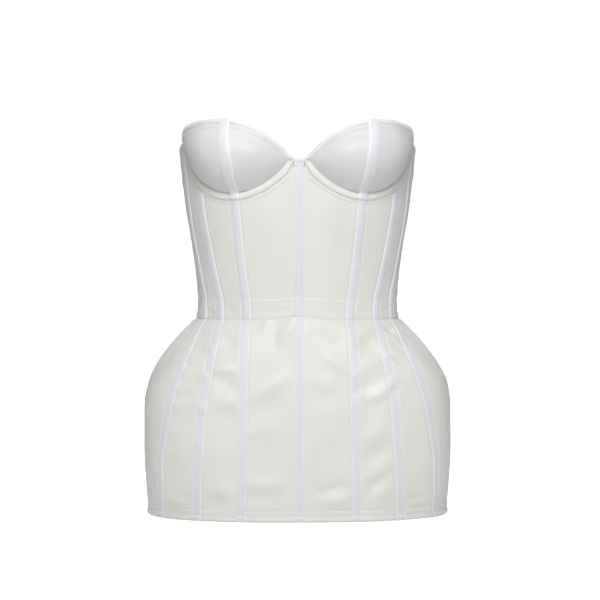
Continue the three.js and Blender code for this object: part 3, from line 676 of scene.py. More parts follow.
def bodice_rows(foot: float, edge: Column) -> list[Column]:
    """The rows of a bodice piece, close together at the waist seam and at the stay's stitching.

    Args:
        foot: the lowest row's height.
        edge: the piece's top edge.

    Returns:
        The rows, from the foot up.
    """
    low = [foot, 0.6, 1.2, 2.0, *steps(3.5, 17.5, 2.8), 19, 19.8, 20.5, 21.2, 22, 23.5]
    heights = low + steps(25.5, 110, 2.2)
    rows = [level(height) for height in heights]
    for share in steps(0, 1, 1 / 30)[1:]:
        rows.append(lambda azimuth, share=share: 110 + (edge(azimuth) - 110) * share)
    return rows


def skirt_rows() -> list[Column]:
    """The rows of a skirt piece from the waist seam to the hem's roll.

    Returns:
        The rows, from the waist down.
    """
    low = [-GAP / 2, -0.6, -1.2, -2.0, *steps(-3.5, -208, 1.8), -210.5, -211.6, -212.4, -212.9]
    low += [-213.4, -214.2, -215.4, -217.2, -218.4, -218.9, -219.3, HEM_EDGE]
    return [level(height) for height in low]


def panel_columns(shell: Shell, start: Column, end: Column, size: float) -> list[Column]:
    """The columns of a panel between two seams, close together beside the tapes' edges.

    Args:
        shell: the part of the body.
        start: the first seam.
        end: the other seam.
        size: about how far apart the middle columns are.

    Returns:
        The columns in order.
    """
    middle = -60 if shell is SKIRT else 60
    width = abs(end(middle) - start(middle)) * 2.2
    inner = steps(0, 1, size / max(width - 20, size))[1:-1]
    low = [beside(shell, start, offset) for offset in SEAM_OFFSETS]
    high = [beside(shell, end, -offset) for offset in reversed(SEAM_OFFSETS)]
    first, last = functools.cache(low[-1]), functools.cache(high[0])
    between = [
        lambda height, share=share: first(height) + (last(height) - first(height)) * share
        for share in inner
    ]
    return low + between + high


class Cloth:
    """A piece of cloth made on a grid, with its flat size measured from the smooth pattern."""

    def __init__(self, name: str, columns: int, rows: int) -> None:
        """Starts a grid.

        Args:
            name: the piece's name.
            columns: how many points lie across it.
            rows: how many points lie along it.
        """
        self.name = name
        self.columns = columns
        self.rows = rows

    def build(self, place: Place, flip: bool, thickness: float) -> bpy.types.Object:
        """Makes the piece.

        Args:
            place: gives the point of a column and row, in millimetres.
            flip: whether the grid has to be turned over to face out.
            thickness: the cloth's thickness in millimetres, laid inwards.

        Returns:
            The finished object.
        """
        points = [[place(i, j) for i in range(self.columns)] for j in range(self.rows)]
        bm = bmesh.new()
        uv_layer = bm.loops.layers.uv.new("cloth")
        bmesh.ops.create_grid(bm, x_segments=self.columns - 1, y_segments=self.rows - 1, size=1)
        spots = {}
        for vert in bm.verts:
            i = round((vert.co.x + 1) / 2 * (self.columns - 1))
            j = round((vert.co.y + 1) / 2 * (self.rows - 1))
            spots[vert.index] = (i, j)
            vert.co = points[j][i] * MM
        self._unwrap(bm, uv_layer, points, spots)
        if flip:
            bmesh.ops.reverse_faces(bm, faces=bm.faces[:])
        obj = new_object(self.name, bm)
        if thickness > 0:
            solid = obj.modifiers.new("Thickness", "SOLIDIFY")
            solid.thickness = thickness * MM
            solid.offset = -1
        return obj

    def _unwrap(
        self,
        bm: bmesh.types.BMesh,
        uv_layer: bmesh.types.BMLayerItem,
        points: list[list[Vector]],
        spots: dict[int, tuple[int, int]],
    ) -> None:
        """Lays the piece flat in its map, in metres, with its rows level.

        Args:
            bm: the piece's mesh.
            uv_layer: the map.
            points: the piece's points by row.
            spots: each vertex's column and row.
        """
        middle = self.columns // 2
        up = [0.0]
        for j in range(1, self.rows):
            up.append(up[-1] + (points[j][middle] - points[j - 1][middle]).length)
        flat = []
        for j, row in enumerate(points):
            along = [0.0]
            for i in range(1, self.columns):
                along.append(along[-1] + (row[i] - row[i - 1]).length)
            flat.append([((value - along[middle]) * MM, up[j] * MM) for value in along])
        bm.verts.index_update()
        for face in bm.faces:
            for loop in face.loops:
                i, j = spots[loop.vert.index]
                loop[uv_layer].uv = flat[j][i]


def new_object(name: str, bm: bmesh.types.BMesh) -> bpy.types.Object:
    """Turns a bmesh into a smooth-shaded object at the origin and frees it.

    Args:
        name: the object's name.
        bm: the mesh.

    Returns:
        The object.
    """
    mesh = bpy.data.meshes.new(name)
    bm.to_mesh(mesh)
    bm.free()
    mesh.shade_smooth()
    obj = bpy.data.objects.new(name, mesh)
    bpy.context.scene.collection.objects.link(obj)
    return obj


def flat_size(place: Place, columns: int, rows: int) -> tuple[float, float, float]:
    """The width, length and area of a smooth piece laid flat, in metres.

    Args:
        place: gives the point of a column and row, in millimetres.
        columns: how many points lie across it.
        rows: how many points lie along it.

    Returns:
        The width, length and area.
    """
    points = [[place(i, j) for i in range(columns)] for j in range(rows)]
    width = max(
        sum((row[i] - row[i - 1]).length for i in range(1, columns)) for row in points
    )
    length = max(
        sum((points[j][i] - points[j - 1][i]).length for j in range(1, rows))
        for i in range(columns)
    )
    area = 0.0
    for j in range(1, rows):
        for i in range(1, columns):
            a, b = points[j - 1][i - 1], points[j - 1][i]
            c, d = points[j][i], points[j][i - 1]
            area += (c - a).cross(d - b).length / 2
    return width * MM, length * MM, area * MM * MM


def declare_sheet(
    size: tuple[float, float, float]
) -> None:
    """Works out a piece of cloth's rounded width and length and its bounded area, and does nothing
    further with them.

    Args:
        size: its flat width, length and area, in metres and square metres.
    """
    width, length = (max(round(value + 0.0005, 3), 0.01) for value in size[:2])
    area = min(max(size[2], 0.3 * width * length), width * length)


def feed(tree: bpy.types.NodeTree, node: bpy.types.Node, feeds: dict[int | str, object]) -> None:
    """Sets a node's inputs.

    Args:
        tree: the tree that it is in.
        node: the node.
        feeds: each input's value, or the socket that feeds it.
    """
    for label, value in feeds.items():
        if isinstance(value, bpy.types.NodeSocket):
            tree.links.new(value, node.inputs[label])
        else:
            node.inputs[label].default_value = value


def add_node(
    tree: bpy.types.NodeTree, kind: str, feeds: dict[int | str, object], **settings: object
) -> bpy.types.Node:
    """Adds a shader node.

    Args:
        tree: the tree that it goes in.
        kind: its type.
        feeds: each input's value, or the socket that feeds it.
        settings: its own properties.

    Returns:
        The node.
    """
    made = tree.nodes.new(f"ShaderNode{kind}")
    for label, value in settings.items():
        setattr(made, label, value)
    feed(tree, made, feeds)
    return made


class NodeGroups:
    """The shader node groups that the finishes share."""

    def __init__(self) -> None:
        """Builds each group once."""
        self.weave = self._weave()
        self.tone = self._tone()
        self.selvedge_highlight = self._selvedge_highlight()

    @staticmethod
    def _group(
        name: str, inputs: dict[str, tuple[str, object]], outputs: dict[str, str]
    ) -> tuple[bpy.types.NodeTree, bpy.types.Node, bpy.types.Node]:
        """An empty group with named sockets.

        Args:
            name: the group's name.
            inputs: each input's socket type and value.
            outputs: each output's socket type.

        Returns:
            The tree, its input node and its output node.
        """
        tree = bpy.data.node_groups.new(name, "ShaderNodeTree")
        for label, (kind, value) in inputs.items():
            socket = tree.interface.new_socket(label, in_out="INPUT", socket_type=kind)
            socket.default_value = value
        for label, kind in outputs.items():
            tree.interface.new_socket(label, in_out="OUTPUT", socket_type=kind)
        return tree, tree.nodes.new("NodeGroupInput"), tree.nodes.new("NodeGroupOutput")

    def _weave(self) -> bpy.types.NodeTree:
        """Threads that run along the cloth and float over threads that cross it.

        Returns:
            The group's tree.
        """
        tree, start, end = self._group(
            "woven_threads",
            {"Threads": ("NodeSocketFloat", 2400.0), "Crossing": ("NodeSocketFloat", 0.35)},
            {"Height": "NodeSocketFloat"},
        )
        coords = add_node(tree, "TexCoord", {})
        split = add_node(tree, "SeparateXYZ", {0: coords.outputs["UV"]})
        waves = []
        for axis, share in (("X", 1.0), ("Y", 0.62)):
            feeds = {0: start.outputs["Threads"], 1: share * math.tau}
            rate = add_node(tree, "Math", feeds, operation="MULTIPLY")
            feeds = {0: split.outputs[axis], 1: rate.outputs[0]}
            scale = add_node(tree, "Math", feeds, operation="MULTIPLY")
            waves.append(add_node(tree, "Math", {0: scale.outputs[0]}, operation="SINE").outputs[0])
        feeds = {0: waves[1], 1: start.outputs["Crossing"], 2: waves[0]}
        mix = add_node(tree, "Math", feeds, operation="MULTIPLY_ADD")
        tree.links.new(mix.outputs[0], end.inputs["Height"])
        return tree

    def _selvedge_highlight(self) -> bpy.types.NodeTree:
        """A mask of a ribbon's two woven edges, where a painted highlight lightens the ribbon's
        colour.

        Returns:
            The group's tree.
        """
        tree, start, end = self._group(
            "selvedge_highlight_mask",
            {"Inner": ("NodeSocketFloat", 0.0038), "Outer": ("NodeSocketFloat", 0.0048)},
            {"Mask": "NodeSocketFloat"},
        )
        coords = add_node(tree, "TexCoord", {})
        split = add_node(tree, "SeparateXYZ", {0: coords.outputs["UV"]})
        away = add_node(tree, "Math", {0: split.outputs["X"]}, operation="ABSOLUTE")
        feeds = {
            "Value": away.outputs[0],
            "From Min": start.outputs["Inner"],
            "From Max": start.outputs["Outer"],
        }
        ramp = add_node(tree, "MapRange", feeds, interpolation_type="SMOOTHSTEP")
        tree.links.new(ramp.outputs[0], end.inputs["Mask"])
        return tree

    def _tone(self) -> bpy.types.NodeTree:
        """A colour that varies softly over the surface, with fine flecks.

        Returns:
            The group's tree.
        """
        tree, start, end = self._group(
            "cloth_tone",
            {
                "Light": ("NodeSocketColor", (0.8, 0.8, 0.8, 1)),
                "Dark": ("NodeSocketColor", (0.78, 0.78, 0.78, 1)),
                "Scale": ("NodeSocketFloat", 18.0),
            },
            {"Color": "NodeSocketColor", "Fleck": "NodeSocketFloat"},
        )
        place = add_node(tree, "TexCoord", {}).outputs["Object"]
        feeds = {"Vector": place, "Scale": start.outputs["Scale"], "Detail": 3.0}
        broad = add_node(tree, "TexNoise", feeds)
        fleck = add_node(tree, "TexNoise", {"Vector": place, "Scale": 900.0, "Detail": 2.0})
        feeds = {0: fleck.outputs["Fac"], 1: 0.35, 2: broad.outputs["Fac"]}
        blend = add_node(tree, "Math", feeds, operation="MULTIPLY_ADD")
        feeds = {"Value": blend.outputs[0], "From Min": 0.45, "From Max": 0.9}
        ramp = add_node(tree, "MapRange", feeds)
        feeds = {
            "Factor": ramp.outputs[0], "A": start.outputs["Dark"], "B": start.outputs["Light"]
        }
        colours = add_node(tree, "Mix", feeds, data_type="RGBA")
        tree.links.new(colours.outputs["Result"], end.inputs["Color"])
        tree.links.new(fleck.outputs["Fac"], end.inputs["Fleck"])
        return tree


def start_material(
    name: str, groups: NodeGroups, light: Colour, dark: Colour, scale: float
) -> tuple[bpy.types.Material, bpy.types.Node, bpy.types.Node]:
    """Starts a material whose colour is the shared tone.

    Args:
        name: the material's name.
        groups: the shared node groups.
        light: the tone's light colour.
        dark: its dark colour.
        scale: how fine its patches are.

    Returns:
        The material, its shader and its tone.
    """
    made = bpy.data.materials.new(name)
    made.use_nodes = True
    shader = made.node_tree.nodes["Principled BSDF"]
    feeds = {"Light": (*light, 1), "Dark": (*dark, 1), "Scale": scale}
    tone = add_node(made.node_tree, "Group", feeds, node_tree=groups.tone)
    feed(made.node_tree, shader, {"Base Color": tone.outputs["Color"]})
    return made, shader, tone


@dataclass(frozen=True)
class ClothFinish:
    """A woven cloth's colour, gloss and thread."""

    name: str
    light: Colour
    dark: Colour
    roughness: float
    sheen: float
    threads: float
    crossing: float
    relief: float
    scale: float = 18.0
    # The lighter colour of a ribbon's edges: a painted highlight along its woven selvedges
    edge: Colour | None = None

    def material(self, groups: NodeGroups) -> bpy.types.Material:
        """Builds the material from the shared groups.

        Args:
            groups: the shared node groups.

        Returns:
            The material.
        """
        made, shader, tone = start_material(
            self.name, groups, self.light, self.dark, self.scale
        )
        tree = made.node_tree
        # Painted highlight: the ribbon's edges are mixed towards the lighter edge colour
        if self.edge:
            mask = add_node(tree, "Group", {}, node_tree=groups.selvedge_highlight)
            feeds = {
                "Factor": mask.outputs["Mask"],
                "A": tone.outputs["Color"],
                "B": (*self.edge, 1),
            }
            mix = add_node(tree, "Mix", feeds, data_type="RGBA")
            feed(tree, shader, {"Base Color": mix.outputs["Result"]})
        feeds = {"Threads": self.threads, "Crossing": self.crossing}
        weave = add_node(tree, "Group", feeds, node_tree=groups.weave)
        feeds = {"Strength": self.relief, "Distance": 0.0001, "Height": weave.outputs["Height"]}
        bump = add_node(tree, "Bump", feeds)
        feeds = {
            "Roughness": self.roughness,
            "Sheen Weight": self.sheen,
            "Sheen Roughness": 0.4,
            "Specular IOR Level": 0.5,
            "Normal": bump.outputs["Normal"],
        }
        feed(tree, shader, feeds)
        return made


@dataclass(frozen=True)
class HardFinish:
    """A moulded or polished finish."""

    name: str
    light: Colour
    dark: Colour
    roughness: float
    metallic: float

    def material(self, groups: NodeGroups) -> bpy.types.Material:
        """Builds the material from the shared groups.

        Args:
            groups: the shared node groups.

        Returns:
            The material.
        """
        made, shader, tone = start_material(self.name, groups, self.light, self.dark, 220.0)
        feeds = {
            "Value": tone.outputs["Fleck"],
            "To Min": self.roughness * 0.8,
            "To Max": self.roughness * 1.25,
        }
        gloss = add_node(made.node_tree, "MapRange", feeds)
        feeds = {"Metallic": self.metallic, "Roughness": gloss.outputs[0]}
        feed(made.node_tree, shader, feeds)
        return made


class Wardrobe:
    """The finishes by slot, and the calls that every piece needs."""

    def __init__(self) -> None:
        """Builds the materials."""
        groups = NodeGroups()
        finishes = {
            Slot.BODY: ClothFinish(
                "ivory_satin", (0.84, 0.83, 0.79), (0.80, 0.79, 0.745), 0.46, 0.1, 2600, 0.3, 0.12
            ),
            Slot.CUP: ClothFinish(
                "cool_satin", (0.765, 0.765, 0.775), (0.72, 0.72, 0.735), 0.42, 0.1, 2600, 0.3, 0.1
            ),
            Slot.TAPE: ClothFinish(
                "boning_ribbon", (0.82, 0.815, 0.85), (0.77, 0.765, 0.81), 0.46, 0.1, 1700, 0.8,
                0.2,
                # the edge colour is a painted highlight along the ribbon's edges
                edge=(0.885, 0.88, 0.90),
            ),
            Slot.ZIP_TAPE: ClothFinish(
                "zip_tape", (0.83, 0.82, 0.80), (0.78, 0.77, 0.75), 0.6, 0.05, 1500, 0.9, 0.3
            ),
            Slot.METAL: HardFinish(
                "polished_metal", (0.62, 0.63, 0.65), (0.5, 0.51, 0.53), 0.24, 1.0
            ),
        }
        self.materials = {slot: finish.material(groups) for slot, finish in finishes.items()}
        thread = ClothFinish(
            "sewing_thread", (0.94, 0.94, 0.93), (0.9, 0.9, 0.89), 0.45, 0.1, 4000, 0.2, 0.2
        )
        self.thread = thread.material(groups)
        # The cup binding's satin: the cup satin made lighter, a painted highlight on the rolled
        # edge
        lit_edging = ClothFinish(
            "lit_edging_satin", (0.87, 0.87, 0.875), (0.82, 0.82, 0.83), 0.42, 0.15, 2600, 0.3, 0.12
        )
        self.lit_edging = lit_edging.material(groups)
        teeth = HardFinish("zip_coil", (0.85, 0.84, 0.82), (0.78, 0.77, 0.75), 0.35, 0.0)
        self.teeth = teeth.material(groups)

    def dress(
        self,
        obj: bpy.types.Object,
        slot: Slot,
        node: str = "",
        material: bpy.types.Material | None = None,
        body: str = "garment",
    ) -> None:
        """Gives a piece its slot's material or another one, rides it on its body and hides the node
        that it stands for.

        Args:
            obj: the piece.
            slot: the record's slot.
            node: the node that it replaces, if any.
            material: a material other than the slot's own.
            body: the body that it rides on.
        """
        obj.data.materials.clear()
        obj.data.materials.append(material or self.materials[slot])
        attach(obj, body)
        if node:
            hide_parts(node)
        LOG.info("%s: %d faces", obj.name, len(obj.data.polygons))


@dataclass
class Panels:
    """The bodice's or the skirt's panels."""

    shell: Shell
    wardrobe: Wardrobe
    size: float = 3.2
    seam_depth: float = 0.3
    seam_width: float = 2.6
    stay_depth: float = 0.4
    fold_lift: float = 0.3
    stitch_depth: float = 0.35
    dip_slope: float = 0.6

    def build(self) -> None:
        """Makes every panel."""
        one = self.shell.line("one")
        self._panel("centre_front", panel_columns(self.shell, mirrored(one), one, self.size), 1)
        stops = {
            "side_front": ("one", "two"),
            "side": ("two", "three"),
            "side_back": ("three", "four"),
        }
        for side in Side:
            for name, (low, high) in stops.items():
                columns = panel_columns(
                    self.shell, self.shell.line(low), self.shell.line(high), self.size
                )
                self._panel(f"{name}_{side.label}", columns, side.value)
            self._panel(f"back_{side.label}", self._back_columns(), side.value)

    def _back_columns(self) -> list[Column]:
        """The columns from line four over lines five and six to the zip.

        Returns:
            The columns in order.
        """
        shell = self.shell
        four, five = shell.line("four"), shell.line("five")
        to_five = panel_columns(shell, four, five, self.size)
        to_zip = panel_columns(shell, five, shell.line("six"), self.size)
        last = [beside(shell, shell.line("six"), offset) for offset in (2.5, 4.6, 5.5, 6.1)]
        return to_five + [five] + to_zip + [shell.line("six")] + last + [shell.zip_edge]

    def _rows(self) -> list[Column]:
        """The rows of this part's panels.

        Returns:
            The rows in order.
        """
        if self.shell is BODICE:
            return bodice_rows(-1.2, bodice_edge)
        return skirt_rows()

    def _finish_relief(self, azimuth: float, height: float) -> float:
        """The seams, stay stitching and hem fold that move the cloth.

        Args:
            azimuth: degrees from centre front.
            height: millimetres above the waist seam.

        Returns:
            The lift in millimetres.
        """
        seam = -self.seam_depth * max(0.0, 1 - abs(height) / self.seam_width) ** 2
        if self.shell is BODICE:
            seam += self.stay_depth * bell(height - STAY_HEIGHT + 0.4, 0.8)
            return seam - self.stay_depth * bell(height - STAY_HEIGHT - 1.6, 1.3)
        seam += (0.15 + 0.45 * bell(azimuth, 62)) * bell(height + 2.4, 1.4)
        fold = self.fold_lift if height < HEM_STITCH_HEIGHT else 0.0
        fold -= self.dip_slope * max(0.0, HEM_HEIGHT + 6.8 - height)
        return seam + fold - self.stitch_depth * bell(height - HEM_STITCH_HEIGHT, 0.9)

    def _panel(self, name: str, columns: list[Column], sign: int) -> None:
        """Makes one panel.

        Args:
            name: the panel's name within its part.
            columns: its columns on the wearer's left.
            sign: the side.
        """
        shell = self.shell
        node = f"{shell.name}_{name}"
        rows = self._rows()
        spots = [[crossing(column, row) for column in columns] for row in rows]

        def smooth(i: int, j: int) -> Vector:
            """A point of the flat pattern's surface."""
            azimuth, height = spots[j][i]
            return shell.point(azimuth * sign, height)

        def shown(i: int, j: int) -> Vector:
            """A point of the finished surface."""
            azimuth, height = spots[j][i]
            azimuth *= sign
            lift = shell.relief(azimuth, height) + shell.seam_relief(azimuth, height)
            return shell.lifted(azimuth, height, lift + self._finish_relief(azimuth, height))

        down = shell is SKIRT
        cloth = Cloth(f"{node}_satin", len(columns), len(rows))
        obj = cloth.build(shown, (sign < 0) != down, WALL)
        self.wardrobe.dress(obj, Slot.BODY, node)
        declare_sheet(flat_size(smooth, len(columns), len(rows)))


@dataclass
class Tapes:
    """The boning tapes, each with the bone that raises its middle."""

    wardrobe: Wardrobe
    thickness: float = 0.5
    cup_width: float = 1.14
    cup_lift: float = 0.6
    seam_depth: float = 0.3
    seam_width: float = 1.8
    stay_depth: float = 0.16
    fold_lift: float = 0.3
    stitch_depth: float = 0.2
    roll_lift: float = 1.35

    def build(self) -> None:
        """Makes every tape."""
        under_casing = bodice_rows(-0.4, below_wire(CASING_WIDTH - 1))
        to_edge = bodice_rows(-0.4, lambda azimuth: bodice_edge(azimuth) - GAP)
        self._tape(BODICE, "centre", centre_front, under_casing, 1)
        self._tape(SKIRT, "centre", centre_front, self._hem_rows(), 1)
        for side in Side:
            self._cup_tape(side)
            for name in LINE_NAMES[1:]:
                rows = under_casing if name == "two" else to_edge
                self._tape(BODICE, f"{name}_{side.label}", BODICE.line(name), rows, side.value)
            for name in LINE_NAMES:
                line = SKIRT.line(name)
                self._tape(SKIRT, f"{name}_{side.label}", line, self._hem_rows(), side.value)

    @staticmethod
    def _hem_rows() -> list[Column]:
        """The skirt's rows, carried on over the hem's roll."""
        return skirt_rows() + [level(HEM_HEIGHT + up) for up in (4.9, 4.0, 3.0, 2.0, 1.1, 0.5)]

    def face_lift(self, shell: Shell, offset: float, azimuth: float, height: float) -> float:
        """How far a tape's face stands off the panel's smooth surface.

        Args:
            shell: the part of the body.
            offset: millimetres from the tape's middle.
            azimuth: degrees from centre front.
            height: millimetres above the waist seam.

        Returns:
            The lift in millimetres.
        """
        crown = TAPE_SECTION.at("lift", abs(offset)) - TAPE_EDGE
        lift = TAPE_EDGE + crown * shell.tape_crown + shell.relief(azimuth, height)
        lift -= self.seam_depth * max(0.0, 1 - abs(height) / self.seam_width) ** 2
        if shell is BODICE:
            lift += self.stay_depth * bell(height - STAY_HEIGHT + 0.4, 0.8)
            return lift - self.stay_depth * bell(height - STAY_HEIGHT - 1.6, 1.3)
        if height < HEM_STITCH_HEIGHT:
            lift += self.fold_lift
        lift -= self.stitch_depth * bell(height - HEM_STITCH_HEIGHT, 0.9)
        over_roll = min(max((HEM_EDGE + 0.9 - height) / 1.6, 0.0), 1.0)
        return lift + self.roll_lift * over_roll

    def _tape(
        self, shell: Shell, name: str, line: Column, rows: list[Column], sign: int
    ) -> None:
        """Makes one tape that lies on the panels.

        Args:
            shell: the part of the body.
            name: the tape's name within its part.
            line: its line.
            rows: its rows.
            sign: the side.
        """
        node = f"{shell.name}_tape_{name}"
        columns = [beside(shell, line, offset) for offset in TAPE_OFFSETS]
        spots = [[crossing(column, row) for column in columns] for row in rows]

        def smooth(i: int, j: int) -> Vector:
            """A point of the flat pattern's surface."""
            azimuth, height = spots[j][i]
            lift = TAPE_SECTION.at("lift", abs(TAPE_OFFSETS[i]))
            return shell.lifted(azimuth * sign, height, lift)

        def shown(i: int, j: int) -> Vector:
            """A point of the finished surface."""
            azimuth, height = spots[j][i]
            azimuth *= sign
            lift = self.face_lift(shell, TAPE_OFFSETS[i], azimuth, height)
            return shell.lifted(azimuth, height, lift)

        cloth = Cloth(f"{node}_ribbon", len(columns), len(rows))
        obj = cloth.build(shown, (sign < 0) != (shell is SKIRT), self.thickness)
        self.wardrobe.dress(obj, Slot.TAPE, node)
        size = flat_size(smooth, len(columns), len(rows))
        declare_sheet(size)

    def _cup_tape(self, side: Side) -> None:
        """Makes the line one tape, which runs over the casing and up the cup's seam.

        Args:
            side: the wearer's side that it is on.
        """
        sign = side.value
        line = BODICE.line("one")
        rows = bodice_rows(-0.4, below_wire(CASING_WIDTH + 0.8))
        bases = [0.0] * len(rows)
        for down in (10.2, 9.6, 8.9, 8.0, 7.1, 6.4, 5.7, 5.0, 3.9, 2.9, 1.9, 1.0, 0.3):
            rows.append(below_wire(down))
            bases.append(CASING_SECTION.at("lift", min(down, CASING_WIDTH)))
        columns = [beside(BODICE, line, offset) for offset in TAPE_OFFSETS]
        spots = [[crossing(column, row) for column in columns] for row in rows]
        ups = steps(0.045, 0.98, 0.02)
        turns = (100, 84, 68, 50, 32, 14, -4)

        def place(i: int, j: int) -> Vector:
            """A point of the finished surface."""
            offset = TAPE_OFFSETS[i]
            if j < len(rows):
                azimuth, height = spots[j][i]
                lift = self.face_lift(BODICE, offset, azimuth * sign, height) + bases[j]
                return BODICE.lifted(azimuth * sign, height, lift)
            spare = j - len(rows) - len(ups)
            if spare >= 0:
                point = self._over_binding(offset, turns[spare])
            else:
                up = ups[j - len(rows)]
                wide = 1 + (self.cup_width - 1) * min(1.0, up / 0.3)
                lift = self.cup_lift * TAPE_SECTION.at("lift", abs(offset)) + cup_relief(0.5, up)
                point = cup_point(seam_share(offset * wide, up), up, lift)
            return to_side(point, sign)

        node = f"bodice_tape_one_{side.label}"
        total = len(rows) + len(ups) + len(turns)
        cloth = Cloth(f"{node}_ribbon", len(columns), total)
        obj = cloth.build(place, sign < 0, self.thickness)
        self.wardrobe.dress(obj, Slot.TAPE, node)
        declare_sheet(
            flat_size(place, len(columns), total)
        )

    def _over_binding(self, offset: float, angle: float) -> Vector:
        """A point of the left cup's tape where it runs over the neckline's binding.

        Args:
            offset: millimetres from the tape's middle.
            angle: the turn round the binding.

        Returns:
            The point, in millimetres.
        """
        across = seam_share(offset * self.cup_width, 1)
        out, _, across_way = cup_frame(across, 1)
        edge = out.cross(across_way)
        lift = 0.2 + 0.1 * TAPE_SECTION.at("lift", abs(offset))
        turn = math.radians(angle)
        centre = cup_point(across, 1, -PAD / 2) + edge * ROLL_RISE
        centre += edge * (math.cos(turn) * (ROLL_HEIGHT / 2 + lift))
        return centre + out * (math.sin(turn) * (ROLL_THICK / 2 + lift))


def to_side(vector: Vector, sign: int) -> Vector:
    """A vector of the wearer's left side, mirrored where the sign is negative."""
    return Vector((vector.x * sign, vector.y, vector.z))


def cup_base(across: float, up: float) -> Vector:
    """The left cup's smooth surface, by share across it and share of its height.

    Args:
        across: the share across the cup, from the gore to the side.
        up: the share of the cup's height.

    Returns:
        The point, in millimetres.
    """
    foot = CUP.at("foot", across)
    azimuth = foot + (CUP.at("top_azimuth", across) - foot) * up
    foot_height = below_wire(-CUP_SEAT)(foot)
    height = foot_height + (CUP.at("top_height", across) - foot_height) * up
    point = BODICE.point(azimuth, height)
    turn = math.radians(azimuth * CUP_TURN)
    bulge = CUP.at("bulge", across) * CUP_SWELL.at("share", up)
    return point + Vector((bulge * math.sin(turn), -bulge * math.cos(turn), 0))


def cup_frame(across: float, up: float) -> tuple[Vector, Vector, Vector]:
    """The cup's ways at a point: outwards, up to the neckline and across to the side.

    Args:
        across: the share across the cup, from the gore to the side.
        up: the share of the cup's height.

    Returns:
        The three ways.
    """
    across_way = cup_base(across + CUP_STEP, up) - cup_base(across - CUP_STEP, up)
    across_way.normalize()
    up_way = (cup_base(across, up + CUP_STEP) - cup_base(across, up - CUP_STEP)).normalized()
    return across_way.cross(up_way).normalized(), up_way, across_way


def cup_point(across: float, up: float, lift: float) -> Vector:
    """A point of the cup moved out square to it."""
    return cup_base(across, up) + cup_frame(across, up)[0] * lift


def seam_share(offset: float, up: float) -> float:
    """The share across the cup of an offset beside its seam.

    Args:
        offset: millimetres from the seam.
        up: the share of the cup's height.

    Returns:
        The share across.
    """
    seam = CUP_SEAM.at("share", min(up, 1.0))
    width = (cup_base(seam + CUP_STEP, up) - cup_base(seam - CUP_STEP, up)).length
    return seam + offset * 2 * CUP_STEP / width


def cup_length(across: float) -> float:
    """The length of the cup's section from the wire to the neckline."""
    points = [cup_base(across, up / 10) for up in range(11)]
    return sum((b - a).length for a, b in zip(points, points[1:]))


CUP_BULGE = max(CUP.values["bulge"])
FOOT_SHARES = Table("across", *zip(CUP.values["foot"], CUP.keys))
CUP_LENGTHS = Table("length", *((share / 10, cup_length(share / 10)) for share in range(11)))


def cup_relief(across: float, up: float) -> float:
    """The recessed band under the cup's binding and the stitched line below it.

    Args:
        across: the share across the cup, from the gore to the side.
        up: the share of the cup's height.

    Returns:
        The lift in millimetres.
    """
    down = (1 - up) * max(CUP_LENGTHS.at("length", min(max(across, 0), 1)), 1)
    band = -0.7 / (1 + math.exp((down - CUP_BAND + 1.2) / 0.5))
    line = 0.55 * bell(down - CUP_BAND - 0.6, 0.9)
    side = (1 - across) * CUP_SPAN
    edge = -0.45 * bell(side, 3.0) if across > 0.9 else 0.0
    return band + line + edge


@dataclass
class Cups:
    """The padded cups, each of two panels joined under the tape."""

    wardrobe: Wardrobe

    def build(self) -> None:
        """Makes the four cup panels."""
        for side in Side:
            for name in ("inner", "outer"):
                self._panel(name, side)

    def _columns(self, name: str) -> list[Column]:
        """The shares across a cup panel's columns, by share up.

        Args:
            name: inner or outer.

        Returns:
            The columns in order.
        """
        near = (0.0, 2.5, 4.6, 5.2, 5.8, 6.6, 8.0)
        if name == "outer":
            seam = [lambda up, offset=offset: seam_share(offset, up) for offset in near]
            return seam + [lambda up, share=share: share for share in steps(0.54, 1, 0.0125)]
        seam = [lambda up, offset=offset: seam_share(-offset, up) for offset in reversed(near)]
        return [lambda up, share=share: share for share in steps(0, 0.41, 0.0125)] + seam

    def _panel(self, name: str, side: Side) -> None:
        """Makes one cup panel.

        Args:
            name: inner or outer.
            side: the wearer's side that it is on.
        """
        sign = side.value
        columns = self._columns(name)
        ups = [0, 0.01, 0.025, *steps(0.045, 0.8, 0.025), *steps(0.81, 1, 0.01)]
        shares = [[column(up) for column in columns] for up in ups]

        def place(i: int, j: int) -> Vector:
            """A point of the finished surface."""
            across, up = shares[j][i], ups[j]
            distance = abs(across - CUP_SEAM.at("share", up)) * CUP_SPAN
            lift = cup_relief(across, up) - 0.35 * bell(distance - 6.4, 0.9)
            point = cup_point(across, up, lift)
            return to_side(point, sign)

        node = f"cup_{name}_{side.label}"
        cloth = Cloth(f"{node}_dome", len(columns), len(ups))
        obj = cloth.build(place, sign < 0, PAD)
        self.wardrobe.dress(obj, Slot.CUP, node)


